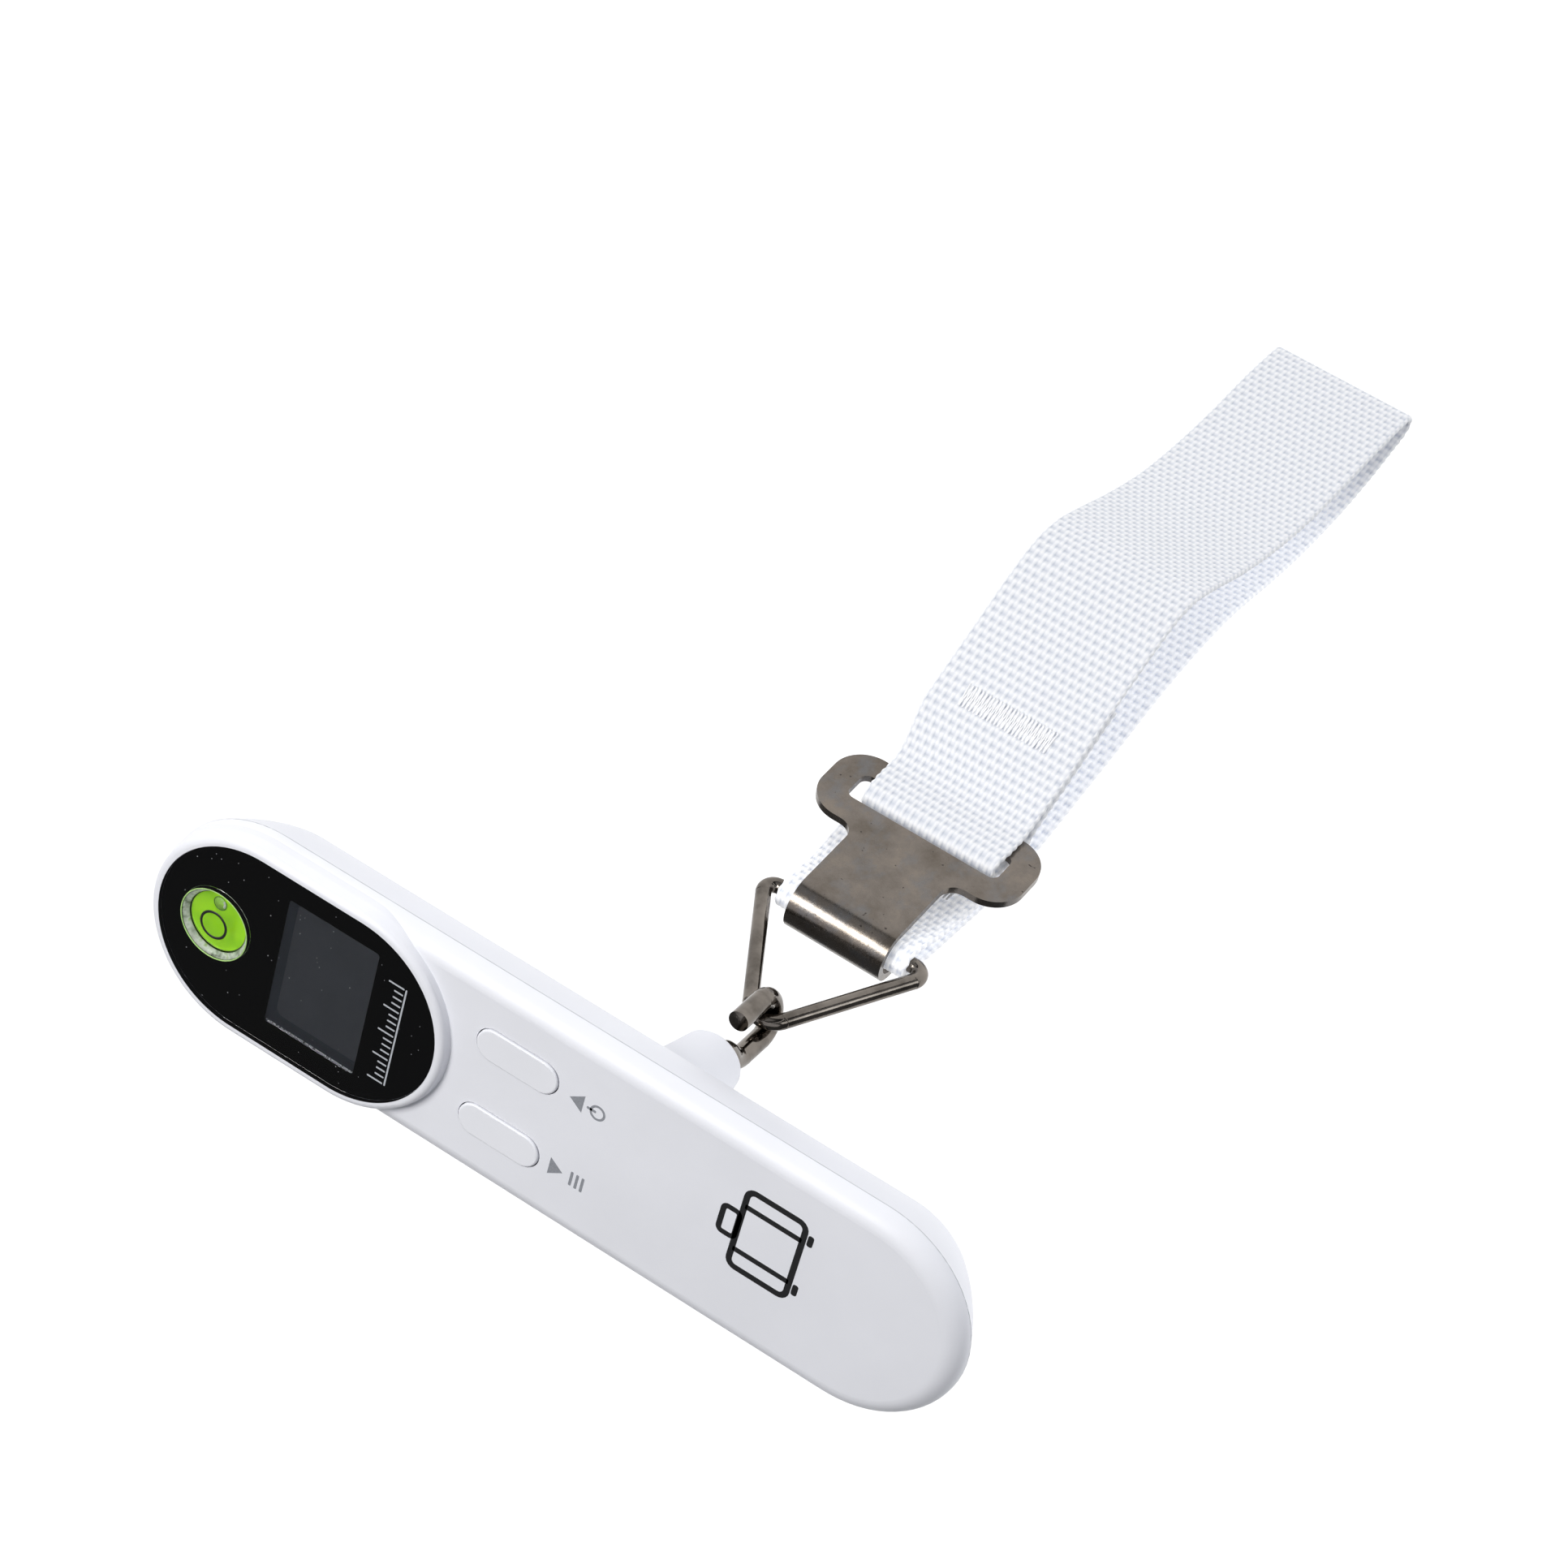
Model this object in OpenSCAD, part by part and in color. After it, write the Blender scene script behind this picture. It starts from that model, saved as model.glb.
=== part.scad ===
// Digital luggage scale: a flat handle bar with a display, a load hook under it,
// a triangle ring on the hook and a webbing loop that closes with a hooked buckle plate.
// Frame: origin on the load axis, where the hook leaves the bar, at the parting plane of
// the two shells. +X runs along the bar towards its plain tail end, +Z out of the display
// face, and the load hangs along -Z.

/* [Bar] */
// Length of the bar
bar_length = 133.2; // [130:0.2:140]
// Width of the bar
bar_width = 34.3; // [34:0.1:35]
// Distance from the load axis to the tail end
load_to_tail = 56.6; // [54:0.2:60]
// Height of the front shell above the parting plane
front_height = 3.0; // [2.8:0.1:3.2]
// Depth of the rear shell below the parting plane
rear_depth = 10.2; // [10.2:0.1:11]
// Wall thickness of both shells
wall = 1.8; // [1.6:0.1:2.0]
// Edge radius of the front shell
front_edge = 2.9; // [2:0.1:2.9]
// Half width of the flat back of the rear shell
back_half = 10.9; // [10.9:0.1:11.2]
// Radius of the shallow bulge of the rear shell's sloping sides
side_r = 40; // [36:1:60]

/* [Display] */
// Distance from the load axis to the middle of the display glass
glass_x = -51.1; // [-52:0.1:-50]
// Half the distance between the two end centres of the glass
glass_half = 8.4; // [8:0.1:8.6]
// End radius of the glass
glass_r = 15.2; // [15:0.1:15.4]
// Height of the glass face above the parting plane
glass_top = 4.73; // [4.6:0.01:4.9]
// Thickness of the glass
glass_thick = 1.4; // [1.2:0.1:1.6]
// Width of the white rim round the glass
rim_width = 1.35; // [1.2:0.05:1.6]
// Length of the viewing window, across the bar
window_y = 22.4; // [21:0.1:23]
// Width of the viewing window, along the bar
window_x = 15.4; // [14:0.1:16]
// Middle of the viewing window along the bar
window_mid = -47.0; // [-47.4:0.1:-46.6]
// Middle of the bullseye level along the bar
level_x = -65.2; // [-65.4:0.1:-65]
// Radius of the bullseye level
level_r = 5.7; // [5.4:0.1:5.8]

/* [Buttons] */
// Middle of the buttons along the bar
button_x = -15.9; // [-17:0.1:-15]
// Distance of each button from the middle line
button_y = 6.9; // [6.5:0.1:7.2]
// Half the distance between the end centres of a button
button_half = 4.0; // [3.6:0.1:4.2]
// End radius of a button cap
button_r = 2.66; // [2.5:0.01:2.8]
// Gap round each button cap
button_gap = 0.17; // [0.12:0.01:0.25]
// Height of the caps above the front face
button_proud = 0.35; // [0.2:0.05:0.5]

/* [Load hook] */
// Radius of the hub at its rim
hub_tip_r = 4.95; // [4.8:0.05:5.2]
// Radius of the hub at the rear face
hub_root_r = 7.4; // [7:0.1:7.6]
// Length of the hub below the rear face
hub_length = 14.45; // [14:0.05:15]
// Diameter of the hook wire
hook_wire = 3.2; // [3.0:0.1:3.2]
// Centre-line radius of the hook's U bend
hook_bend = 3.3; // [3.3:0.05:3.4]
// Sideways offset of the hook's back arm from the load axis
hook_offset = 4.05; // [4.0:0.05:4.1]
// Height of the lowest point of the hook's centre line
hook_low = -40.6; // [-40.7:0.1:-40.5]
// Height of the open end of the hook
hook_tip = -31.2; // [-32:0.1:-30.5]
// Turn of the hook about the load axis
hook_turn = 12; // [10:1:13]

/* [Triangle ring] */
// Diameter of the ring wire
ring_wire = 2.4; // [2.3:0.1:2.4]
// Half the width of the ring between its sharp corners
ring_half = 14.4; // [14.3:0.1:14.8]
// Height of the ring between its sharp corners
ring_height = 26.1; // [26.0:0.05:26.2]
// Centre-line radius at the top of the ring
ring_top_r = 3.2; // [3.15:0.05:3.25]
// Centre-line radius at the two lower corners
ring_corner_r = 1.6; // [1.5:0.1:1.7]
// Lean of the ring from the load axis
ring_lean = 9; // [8.8:0.1:9.2]

/* [Buckle plate] */
// Thickness of the plate
plate_thick = 1.2; // [1.0:0.1:1.3]
// Width of the neck
neck_width = 16.5; // [16:0.1:16.6]
// Width of the head across both ears
head_width = 35.2; // [34:0.1:36]
// Distance from the ring bar to the near edge of the head
head_start = 13.7; // [13.5:0.1:14]
// Distance from the ring bar to the far edge of the head
head_end = 28.0; // [27.8:0.1:28.4]
// Distance from the ring bar to the near edge of the slot
slot_start = 18.4; // [18.2:0.1:18.6]
// Distance from the ring bar to the far edge of the slot
slot_end = 23.9; // [23.6:0.1:24]
// Width of the slot
slot_width = 26.2; // [26:0.1:26.6]
// Inner radius of the curl that hooks over the ring bar
curl_inner = 3.1; // [3.0:0.05:3.2]
// Angle that the curl goes round the ring bar
curl_angle = 196; // [180:2:200]
// Lean of the plate from the load axis
plate_lean = 8; // [7.5:0.5:8.5]

/* [Webbing] */
// Width of the webbing
web_width = 25.4; // [25:0.1:25.6]
// Thickness of the webbing
web_thick = 1.3; // [1.2:0.05:1.35]
// Width of the webbing where it is gathered round the ring bar
web_gathered = 22.4; // [22:0.1:22.6]

/* [Hidden] */

$fn = 96;
eps = 0.01;
bar_r = bar_width / 2;
bar_half = bar_length / 2 - bar_r;
bar_mid = load_to_tail - bar_length / 2;
cavity_r = bar_r - wall;
front_inner = front_height - wall;
back_wall = 1.6;
rear_inner = -rear_depth + back_wall;
tongue_low = -1.4;
glass_low = glass_top - glass_thick;
rim_top = glass_top - 0.05;
mask_thick = 0.15;

lcd_x = 19.5;
lcd_y = 25.2;
lcd_z = [0.3, 3.1];
board_z = [-2.6, -1.4];
board_x = [-58.5, -8.0];
board_y = 27.4;
vial_low = -3.2;

door_x = [-44.0, -20.9];
door_y = 20.4;
door_z = [-rear_depth + 0.05, -rear_depth + 1.45];
door_gap = 0.15;
door_neck = 16;
door_shoulder = 1.6;
door_pin_z = (door_z[0] + door_z[1]) / 2;
door_pin_r = 0.5;
door_pin_reach = 1.2;
door_opening_top = rear_inner + 0.9;
cell_mid = -32.2;
cell_r = 10.0;
cell_z = [rear_inner + 0.1, rear_inner + 3.3];
holder_x = [-45.4, -18.8];
holder_z = [rear_inner + 1.4, rear_inner + 4.7];
pocket_top = cell_z[1] + 0.6;
contact_thick = 0.4;

beam_x = [-6, 38];
beam_y = 11;
beam_z = [rear_inner + 1.0, rear_inner + 5.6];
beam_mid = (beam_z[0] + beam_z[1]) / 2;
beam_screws = [28.5, 35.0];
shell_screw_places = [[-61.5, 7.5], [-61.5, -7.5], [42.5, 6.8], [42.5, -6.8]];
screw_seat = -rear_depth + 2;
screw_pad_top = screw_seat + 1.3;

hub_low = -rear_depth - hub_length;
hook_r = hook_wire / 2;
ring_r = ring_wire / 2;
ring_bar = [2.8, -60.0];
wrap_gap = 0.08;
wrap_mid_r = ring_r + wrap_gap + web_thick / 2;

// Centre line of the webbing, [y, z], from the loop round the ring bar down to the far fold
lower_route = [
    [1.5, -66], [2.3, -73], [3.3, -81], [4.6, -89], [7.2, -98], [12.4, -112],
    [17.4, -125], [20.9, -138], [21.9, -148], [21.3, -160], [21.2, -172], [22.4, -184],
    [25.2, -195], [28.0, -203]
];
// Centre line of the webbing from the far fold back to the buckle plate
upper_route = [
    [28.0, -203], [29.1, -205.7], [30.6, -206.5], [32.0, -205.6], [32.3, -203], [31.6, -194],
    [29.9, -182], [28.9, -170], [29.3, -158], [31.2, -146], [33.8, -135], [35.2, -127.5],
    [34.4, -121], [31.0, -114.5], [26.2, -107.5], [20.9, -100], [16.2, -93.6], [13.2, -89.6],
    [12.3, -88.3]
];
// Centre line of the end of the webbing that is stitched under the upper layer
return_route = [
    [9.4, -89.2], [11.4, -90.8], [14.6, -94.4], [19.7, -100.9], [24.4, -107.6]
];
// Centre line of the end of the webbing that is stitched on the lower layer by the ring
tab_route = [[4.07, -66.7], [4.0, -70], [4.4, -76], [5.1, -82]];

// ---------------------------------------------------------------- general shapes

// Area swept by a circle of radius r along a line of length 2 * half
module capsule(half, r) {
    square([2 * half, 2 * r], center = true);
    for (side = [-1, 1]) translate([side * half, 0]) circle(r);
}

// Solid with a capsule plan, turned from a profile drawn as [radius, height]
module capsule_turned(mid, half) {
    translate([mid, 0, 0]) {
        for (side = [-1, 1]) translate([side * half, 0, 0]) rotate_extrude() children();
        rotate([90, 0, 90]) linear_extrude(2 * half, center = true) {
            children();
            mirror([1, 0]) children();
        }
    }
}

// Half section of a body from z0 up to z1 whose top edge is rounded
module rounded_up(r, z0, z1, edge) {
    translate([0, z0]) square([r - edge, z1 - z0]);
    translate([0, z0]) square([r, z1 - z0 - edge]);
    translate([r - edge, z1 - edge]) intersection() {
        circle(edge);
        square(edge);
    }
}

// Middle of the arc that bulges the rear shell's side between the parting plane and the back
function side_middle() =
    let (
        chord = [back_half - bar_r, -rear_depth],
        out = [rear_depth, back_half - bar_r] / norm(chord))
    [bar_r, 0] + chord / 2 - out * sqrt(side_r * side_r - chord * chord / 4);

// Half section of the rear shell, drawn in by a wall on its sides, down to the height z0
module hull_section(inset, z0, edge, z1 = 0) {
    middle = side_middle();
    r = side_r - inset;
    edge_x = middle[0] + sqrt(pow(r - edge, 2) - pow(middle[1] - z0 - edge, 2));
    translate([0, z0]) square([edge_x, z1 - z0]);
    translate([edge_x, z0 + edge]) circle(edge, $fn = 48);
    intersection() {
        translate([0, z0 + edge / 2]) square([bar_r, z1 - z0 - edge / 2]);
        translate(middle) circle(r, $fn = 480);
    }
}

// Rectangle with round corners
module rounded_plan(size, r) {
    square([size[0] - 2 * r, size[1]], center = true);
    square([size[0], size[1] - 2 * r], center = true);
    for (sx = [-1, 1], sy = [-1, 1])
        translate([sx * (size[0] / 2 - r), sy * (size[1] / 2 - r)]) circle(r);
}

// Upright cylinder between two heights
module post(at, r, z) {
    translate([at[0], at[1], z[0]]) cylinder(r = r, h = z[1] - z[0]);
}

// Block between two limits along each axis, centred across the bar
module slab(x, width, z) {
    translate([x[0], -width / 2, z[0]]) cube([x[1] - x[0], width, z[1] - z[0]]);
}

// Part of a round wire bent in the XZ plane about [x, z], from angle a by turn
module wire_bend(at, radius, wire_r, a, turn) {
    translate([at[0], 0, at[1]]) rotate([90, 0, 0]) rotate([0, 0, a])
        rotate_extrude(angle = turn) translate([radius, 0]) circle(wire_r, $fn = 48);
}

// Short swell that joins two lengths of wire into one
module wire_joint(at, wire_r) {
    translate([at[0], 0, at[1]]) sphere(wire_r + 0.02, $fn = 48);
}

// Straight round wire between two points of the XZ plane
module wire_run(p, q, wire_r) {
    length = norm(q - p);
    lean = atan2(q[0] - p[0], q[1] - p[1]);
    translate([p[0], 0, p[1]]) rotate([0, lean, 0]) cylinder(r = wire_r, h = length, $fn = 48);
}

// Point of a smooth curve through the points p, between point i and the next, at t from 0 to 1
function spline_point(p, i, t) =
    let (a = p[max(i - 1, 0)], b = p[i], c = p[i + 1], d = p[min(i + 2, len(p) - 1)])
    0.5 * ((2 * b) + (c - a) * t + (2 * a - 5 * b + 4 * c - d) * t * t
        + (3 * b - a - 3 * c + d) * t * t * t);
function spline(p, steps) = concat(
    [for (i = [0 : len(p) - 2], k = [0 : steps - 1]) spline_point(p, i, k / steps)],
    [p[len(p) - 1]]);
function direction(p, i) =
    let (v = p[min(i + 1, len(p) - 1)] - p[max(i - 1, 0)]) v / norm(v);
function beside(p, i, away) = p[i] + away * [direction(p, i)[1], -direction(p, i)[0]];

// Webbing of the given width along a route in the YZ plane
module webbing(route, width, steps = 3) {
    line = spline(route, steps);
    last = len(line) - 1;
    outline = concat(
        [for (i = [0 : last]) beside(line, i, web_thick / 2)],
        [for (i = [last : -1 : 0]) beside(line, i, -web_thick / 2)]);
    rotate([90, 0, 90]) linear_extrude(width, center = true) polygon(outline);
}

// Insulated lead through the given points
module lead(route, r) {
    line = spline(route, 4);
    sides = 8;
    last = len(line) - 1;
    ring = [for (i = [0 : last])
        let (
            ahead = direction(line, i),
            across = cross(ahead, [0.13, 0.99, 0.05]),
            u = across / norm(across),
            v = cross(ahead, u))
        [for (k = [0 : sides - 1]) line[i] + r * (cos(360 * k / sides) * u
            + sin(360 * k / sides) * v)]];
    points = [for (loop = ring, p = loop) p];
    walls = [for (i = [0 : last - 1], k = [0 : sides - 1])
        let (a = i * sides + k, b = i * sides + (k + 1) % sides)
        [a, b, b + sides, a + sides]];
    polyhedron(points, concat(walls,
        [[for (k = [sides - 1 : -1 : 0]) k]],
        [[for (k = [0 : sides - 1]) last * sides + k]]), convexity = 6);
}

// ---------------------------------------------------------------- housing

// Raised rim round the glass, flared where it meets the front face
module bezel() {
    rim_r = glass_r + rim_width;
    foot_r = rim_r + 0.35;
    corner = 0.9;
    capsule_turned(glass_x, glass_half) {
        polygon([[0, front_inner], [foot_r, front_inner], [foot_r, front_height - 0.6],
            [rim_r, rim_top - corner], [0, rim_top - corner]]);
        translate([0, rim_top - corner - eps]) square([rim_r - corner, corner + eps]);
        translate([rim_r - corner, rim_top - corner]) circle(corner);
    }
}

module front_shell() {
    color("white") difference() {
        union() {
            difference() {
                capsule_turned(bar_mid, bar_half) rounded_up(bar_r, 0, front_height, front_edge);
                capsule_turned(bar_mid, bar_half) rounded_up(cavity_r, -1, front_inner, 0.8);
            }
            bezel();
            // tongue that locates the rear shell, on a thicker root inside the wall
            translate([bar_mid, 0, 0]) difference() {
                union() {
                    translate([0, 0, tongue_low]) linear_extrude(2) capsule(bar_half, cavity_r - 0.1);
                    linear_extrude(front_inner + 0.1) capsule(bar_half, cavity_r + 0.1);
                }
                translate([0, 0, -2]) linear_extrude(5) capsule(bar_half, cavity_r - 0.9);
            }
            for (at = shell_screw_places) post(at, 2.4, [screw_pad_top + 0.1, front_inner + 0.1]);
        }
        // seat of the glass
        translate([glass_x, 0, glass_low - mask_thick]) linear_extrude(10)
            capsule(glass_half, glass_r + 0.05);
        // opening for the display
        translate([window_mid, 0, -0.5]) linear_extrude(10) square([lcd_x + 0.6, lcd_y + 0.6], center = true);
        post([level_x, 0], level_r + 0.1, [-5, 10]);
        for (side = [-1, 1])
            translate([button_x, side * button_y, 0]) linear_extrude(10)
                capsule(button_half, button_r + button_gap);
        for (at = shell_screw_places) post(at, 1.0, [screw_pad_top - 1, -1.2]);
    }
}

// Tapered hub that carries the hook, as a half section
module hub_section() {
    rim = 0.9;
    fillet = 3.4;
    taper = (hub_root_r - hub_tip_r) / (hub_length - rim);
    lean = atan(taper);
    foot_x = hub_root_r - taper * fillet + fillet / cos(lean);
    polygon([[0, -rear_depth + 0.5], [hub_root_r, -rear_depth + 0.5], [hub_root_r, -rear_depth],
        [hub_tip_r, hub_low + rim], [0, hub_low + rim]]);
    translate([0, hub_low]) square([hub_tip_r - rim, rim + eps]);
    translate([hub_tip_r - rim, hub_low + rim]) circle(rim);
    difference() {
        translate([0, -rear_depth - fillet]) square([foot_x, fillet + 0.5]);
        translate([foot_x, -rear_depth - fillet]) circle(fillet);
    }
}

module rear_shell() {
    color("white") difference() {
        union() {
            difference() {
                capsule_turned(bar_mid, bar_half) hull_section(0, -rear_depth, 0.8);
                capsule_turned(bar_mid, bar_half) hull_section(wall, rear_inner, 0.6, 1);
                // seat of the front shell's tongue
                translate([bar_mid, 0, tongue_low - 0.1]) linear_extrude(3) capsule(bar_half, cavity_r);
            }
            rotate_extrude() hub_section();
            // pads for the shell screws and for the load cell
            for (at = shell_screw_places) post(at, 3.2, [rear_inner - 0.2, screw_pad_top]);
            slab([25, beam_x[1]], beam_y, [rear_inner - 0.2, beam_z[0]]);
            // sockets of the battery door's hinge
            socket_x = door_x[1] - door_shoulder + door_gap;
            for (side = [-1, 1])
                translate([socket_x, side * (door_neck / 2 + 1.1) - 0.95, -rear_depth + 0.15])
                    cube([3.1, 1.9, 2.1]);
        }
        // battery opening
        slab([door_x[0] - door_gap, door_x[1] - door_shoulder + door_gap], door_y + 2 * door_gap,
            [-rear_depth - 1, door_opening_top]);
        slab([door_x[1] - door_shoulder, door_x[1] + 0.7 + door_gap], door_neck + 2 * door_gap,
            [-rear_depth - 1, door_opening_top]);
        translate([door_x[1], 0, door_pin_z]) rotate([90, 0, 0])
            cylinder(r = door_pin_r + 0.06, h = door_neck + 2 * door_pin_reach + 0.3, center = true);
        for (at = shell_screw_places) {
            post(at, 1.25, [-rear_depth - 1, screw_pad_top + 1]);
            post(at, 2.3, [-rear_depth - 1, screw_seat]);
        }
        for (x = beam_screws) post([x, 0], 1.3, [-rear_depth + 0.7, beam_z[0] + 1]);
        // passage of the hook, with a seat for its bush
        post([0, 0], 2.1, [hub_low - 1, rear_inner + 1]);
        post([0, 0], 3.0, [hub_low + 0.5, rear_inner + 1]);
    }
}

module hub_bush() {
    color("gainsboro") difference() {
        post([0, 0], 3.0, [hub_low + 0.5, hub_low + 5]);
        post([0, 0], hook_r + 0.06, [hub_low - 1, hub_low + 6]);
    }
}

module shell_screws() {
    color("silver") for (at = shell_screw_places) difference() {
        union() {
            post(at, 2.1, [screw_seat - 1.5, screw_seat]);
            post(at, 0.95, [screw_seat - eps, -3]);
        }
        translate([at[0], at[1], screw_seat - 1.5]) {
            cube([3, 0.6, 1.2], center = true);
            cube([0.6, 3, 1.2], center = true);
        }
    }
}

// ---------------------------------------------------------------- display and level

module display_glass() {
    color([0.05, 0.05, 0.06]) difference() {
        translate([glass_x, 0, glass_low]) linear_extrude(glass_thick) capsule(glass_half, glass_r);
        post([level_x, 0], level_r + 0.04, [0, 10]);
    }
}

// Black print on the back of the glass, open at the window and at the level
module display_mask() {
    color("black") difference() {
        translate([glass_x, 0, glass_low - mask_thick]) linear_extrude(mask_thick)
            capsule(glass_half, glass_r - 0.02);
        translate([window_mid, 0, 0]) linear_extrude(10) rounded_plan([window_x, window_y], 0.5);
        post([level_x, 0], level_r + 0.1, [0, 10]);
    }
}

module lcd_panel() {
    color("dimgray") translate([window_mid, 0, lcd_z[0]])
        linear_extrude(lcd_z[1] - lcd_z[0]) square([lcd_x, lcd_y], center = true);
}

module lcd_backlight() {
    color("white") slab([window_mid - lcd_x / 2, window_mid + lcd_x / 2 - 1.7], lcd_y - 0.6,
        [board_z[1], lcd_z[0]]);
}

module lcd_connector() {
    color("pink") slab([window_mid + lcd_x / 2 - 1.5, window_mid + lcd_x / 2 - 0.2], lcd_y - 2,
        [board_z[1], lcd_z[0]]);
}

module level_vial() {
    color([0.9, 0.95, 0.9, 0.5]) difference() {
        union() {
            post([level_x, 0], level_r, [glass_low, glass_top - 0.08]);
            post([level_x, 0], level_r - 0.2, [vial_low, glass_low + eps]);
        }
        post([level_x, 0], level_r - 1.0, [vial_low + 1, 2.6]);
    }
}

module level_fluid() {
    color([0.62, 0.85, 0.1]) difference() {
        post([level_x, 0], level_r - 1.03, [vial_low + 1.02, 2.57]);
        bubble_place() sphere(r = 1, $fn = 48);
    }
}

// Where the air bubble floats, off centre
module bubble_place() {
    translate([level_x + 1.6, 2.6, 1.5]) children();
}

module level_bubble() {
    color("honeydew") bubble_place() sphere(r = 0.97, $fn = 48);
}

module level_ring() {
    color("black") translate([level_x, 0, glass_top - 0.08]) difference() {
        cylinder(r = level_r * 0.4, h = 0.06);
        translate([0, 0, -1]) cylinder(r = level_r * 0.4 - 0.3, h = 2);
    }
}

// ---------------------------------------------------------------- electronics

module circuit_board() {
    color("seagreen") slab(board_x, board_y, board_z);
}

module controller_chip() {
    color("black") slab([-56, -46], 10, [board_z[0] - 1.3, board_z[0]]);
}

module tact_switches() {
    color("dimgray") for (side = [-1, 1]) translate([button_x, side * button_y, 0])
        difference() {
            slab([-3, 3], 6, [board_z[1], -0.2]);
            post([0, 0], 1.75, [board_z[1] - 1, 1]);
        }
}

module plunger(side) {
    color("black") post([button_x, side * button_y], 1.6, [-0.75, 0.5]);
}
module tare_plunger() { plunger(1); }
module unit_plunger() { plunger(-1); }

// Cap with a flange behind the front wall
module button_cap(side) {
    color("whitesmoke") translate([button_x, side * button_y, 0]) {
        capsule_turned(0, button_half)
            rounded_up(button_r, 0.5, front_height + button_proud, 0.3);
        translate([0, 0, 0.5]) linear_extrude(front_inner - 0.6) capsule(button_half, 3.4);
    }
}
module tare_button() { button_cap(1); }
module unit_button() { button_cap(-1); }

// Beam with a double-bore flexure, fixed at its tail end and pulled down at the load axis
module load_cell() {
    bore_r = 1.7;
    slot_half = 0.5;
    color("silver") difference() {
        slab(beam_x, beam_y, beam_z);
        post([0, 0], hook_r + 0.1, [beam_z[0] - 1, 0]);
        for (x = beam_screws) post([x, 0], 1.6, [beam_z[0] - 1, 0]);
        for (x = [11, 19]) translate([x, 0, beam_mid])
            rotate([90, 0, 0]) cylinder(r = bore_r, h = 20, center = true);
        slab([11, 19], 20, [beam_mid - slot_half, beam_mid + slot_half]);
    }
}

module strain_gauges() {
    color("orange") {
        for (x = [11, 19]) {
            slab([x - 1.6, x + 1.6], 5, [beam_z[1], beam_z[1] + 0.25]);
            slab([x - 1.6, x + 1.6], 5, [beam_z[0] - 0.25, beam_z[0]]);
        }
    }
}

module load_cell_screws() {
    color("silver") for (x = beam_screws) {
        difference() {
            post([x, 0], 2.6, [beam_z[1], beam_z[1] + 1.8]);
            translate([x, 0, beam_z[1] + 1]) cylinder(r = 1.3, h = 2, $fn = 6);
        }
        post([x, 0], 1.3, [-rear_depth + 0.9, beam_z[1] + eps]);
    }
}

module load_cell_wires() {
    colors = ["red", "black", "green", "white"];
    for (i = [0 : 3]) {
        y = 3.0 + i * 1.1;
        color(colors[i]) lead([[9.0 - i * 0.4, y - 0.4, beam_z[1] + 0.9], [5, y + 0.8, -1.7],
            [-1, y + 1.6, -1.8], [-6.3, y + 1.6, -2.4], [-7.8, y + 1.5, -3.1],
            [-9.5, y + 1.3, -3.15], [-11.5, y + 1.2, -3.1]], 0.4);
    }
}

// ---------------------------------------------------------------- battery

module coin_cell() {
    color("silver") {
        post([cell_mid, 0], cell_r, [cell_z[0], cell_z[1] - 0.5]);
        post([cell_mid, 0], cell_r - 1.2, [cell_z[1] - 0.5 - eps, cell_z[1]]);
    }
}

module battery_holder() {
    foot = 1.0;
    color("black") difference() {
        union() {
            slab(holder_x, 22, holder_z);
            slab([holder_x[0], holder_x[0] + foot], 18, [rear_inner, holder_z[0] + eps]);
            slab([holder_x[1] - foot, holder_x[1]], door_neck, [rear_inner, holder_z[0] + eps]);
        }
        post([cell_mid, 0], cell_r + 0.4, [-20, pocket_top]);
        slab([-43.4, -40], 5, [-20, pocket_top]);
    }
}

module battery_contact_negative() {
    color("gold") slab([cell_mid - 5, cell_mid + 5], 4, [cell_z[1] + 0.1, cell_z[1] + 0.1 + contact_thick]);
}

module battery_contact_positive() {
    color("gold") slab([-42.8, -42.45], 4, [cell_z[0] + 0.3, cell_z[1] + 0.1 + contact_thick]);
}

module battery_wires() {
    for (side = [-1, 1])
        color(side > 0 ? "red" : "black") lead([[-24.5, 4 * side, holder_z[1] + 0.4],
            [-23.5, 5.2 * side, -3.45], [-22, 6.2 * side, -3.3], [-20.5, 6.6 * side, -3.15],
            [-19.5, 6.8 * side, -3.05]], 0.4);
}

// Door that swings down on two stub pins at its end nearest the hub
module battery_door() {
    barrel_r = (door_z[1] - door_z[0]) / 2;
    color("white") difference() {
        union() {
            slab([door_x[0], door_x[1] - door_shoulder], door_y, door_z);
            slab([door_x[1] - door_shoulder - eps, door_x[1]], door_neck, door_z);
            translate([door_x[1], 0, door_pin_z]) rotate([90, 0, 0]) {
                cylinder(r = barrel_r, h = door_neck, center = true);
                cylinder(r = door_pin_r, h = door_neck + 2 * door_pin_reach, center = true);
            }
        }
        // fingernail groove
        translate([door_x[0] + 2.6, 0, door_z[0] - 0.9]) rotate([90, 0, 0])
            cylinder(r = 1.5, h = 11, center = true);
    }
}

// ---------------------------------------------------------------- hook, ring and plate

module hook_place() {
    rotate([0, 0, 90 + hook_turn]) children();
}

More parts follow.
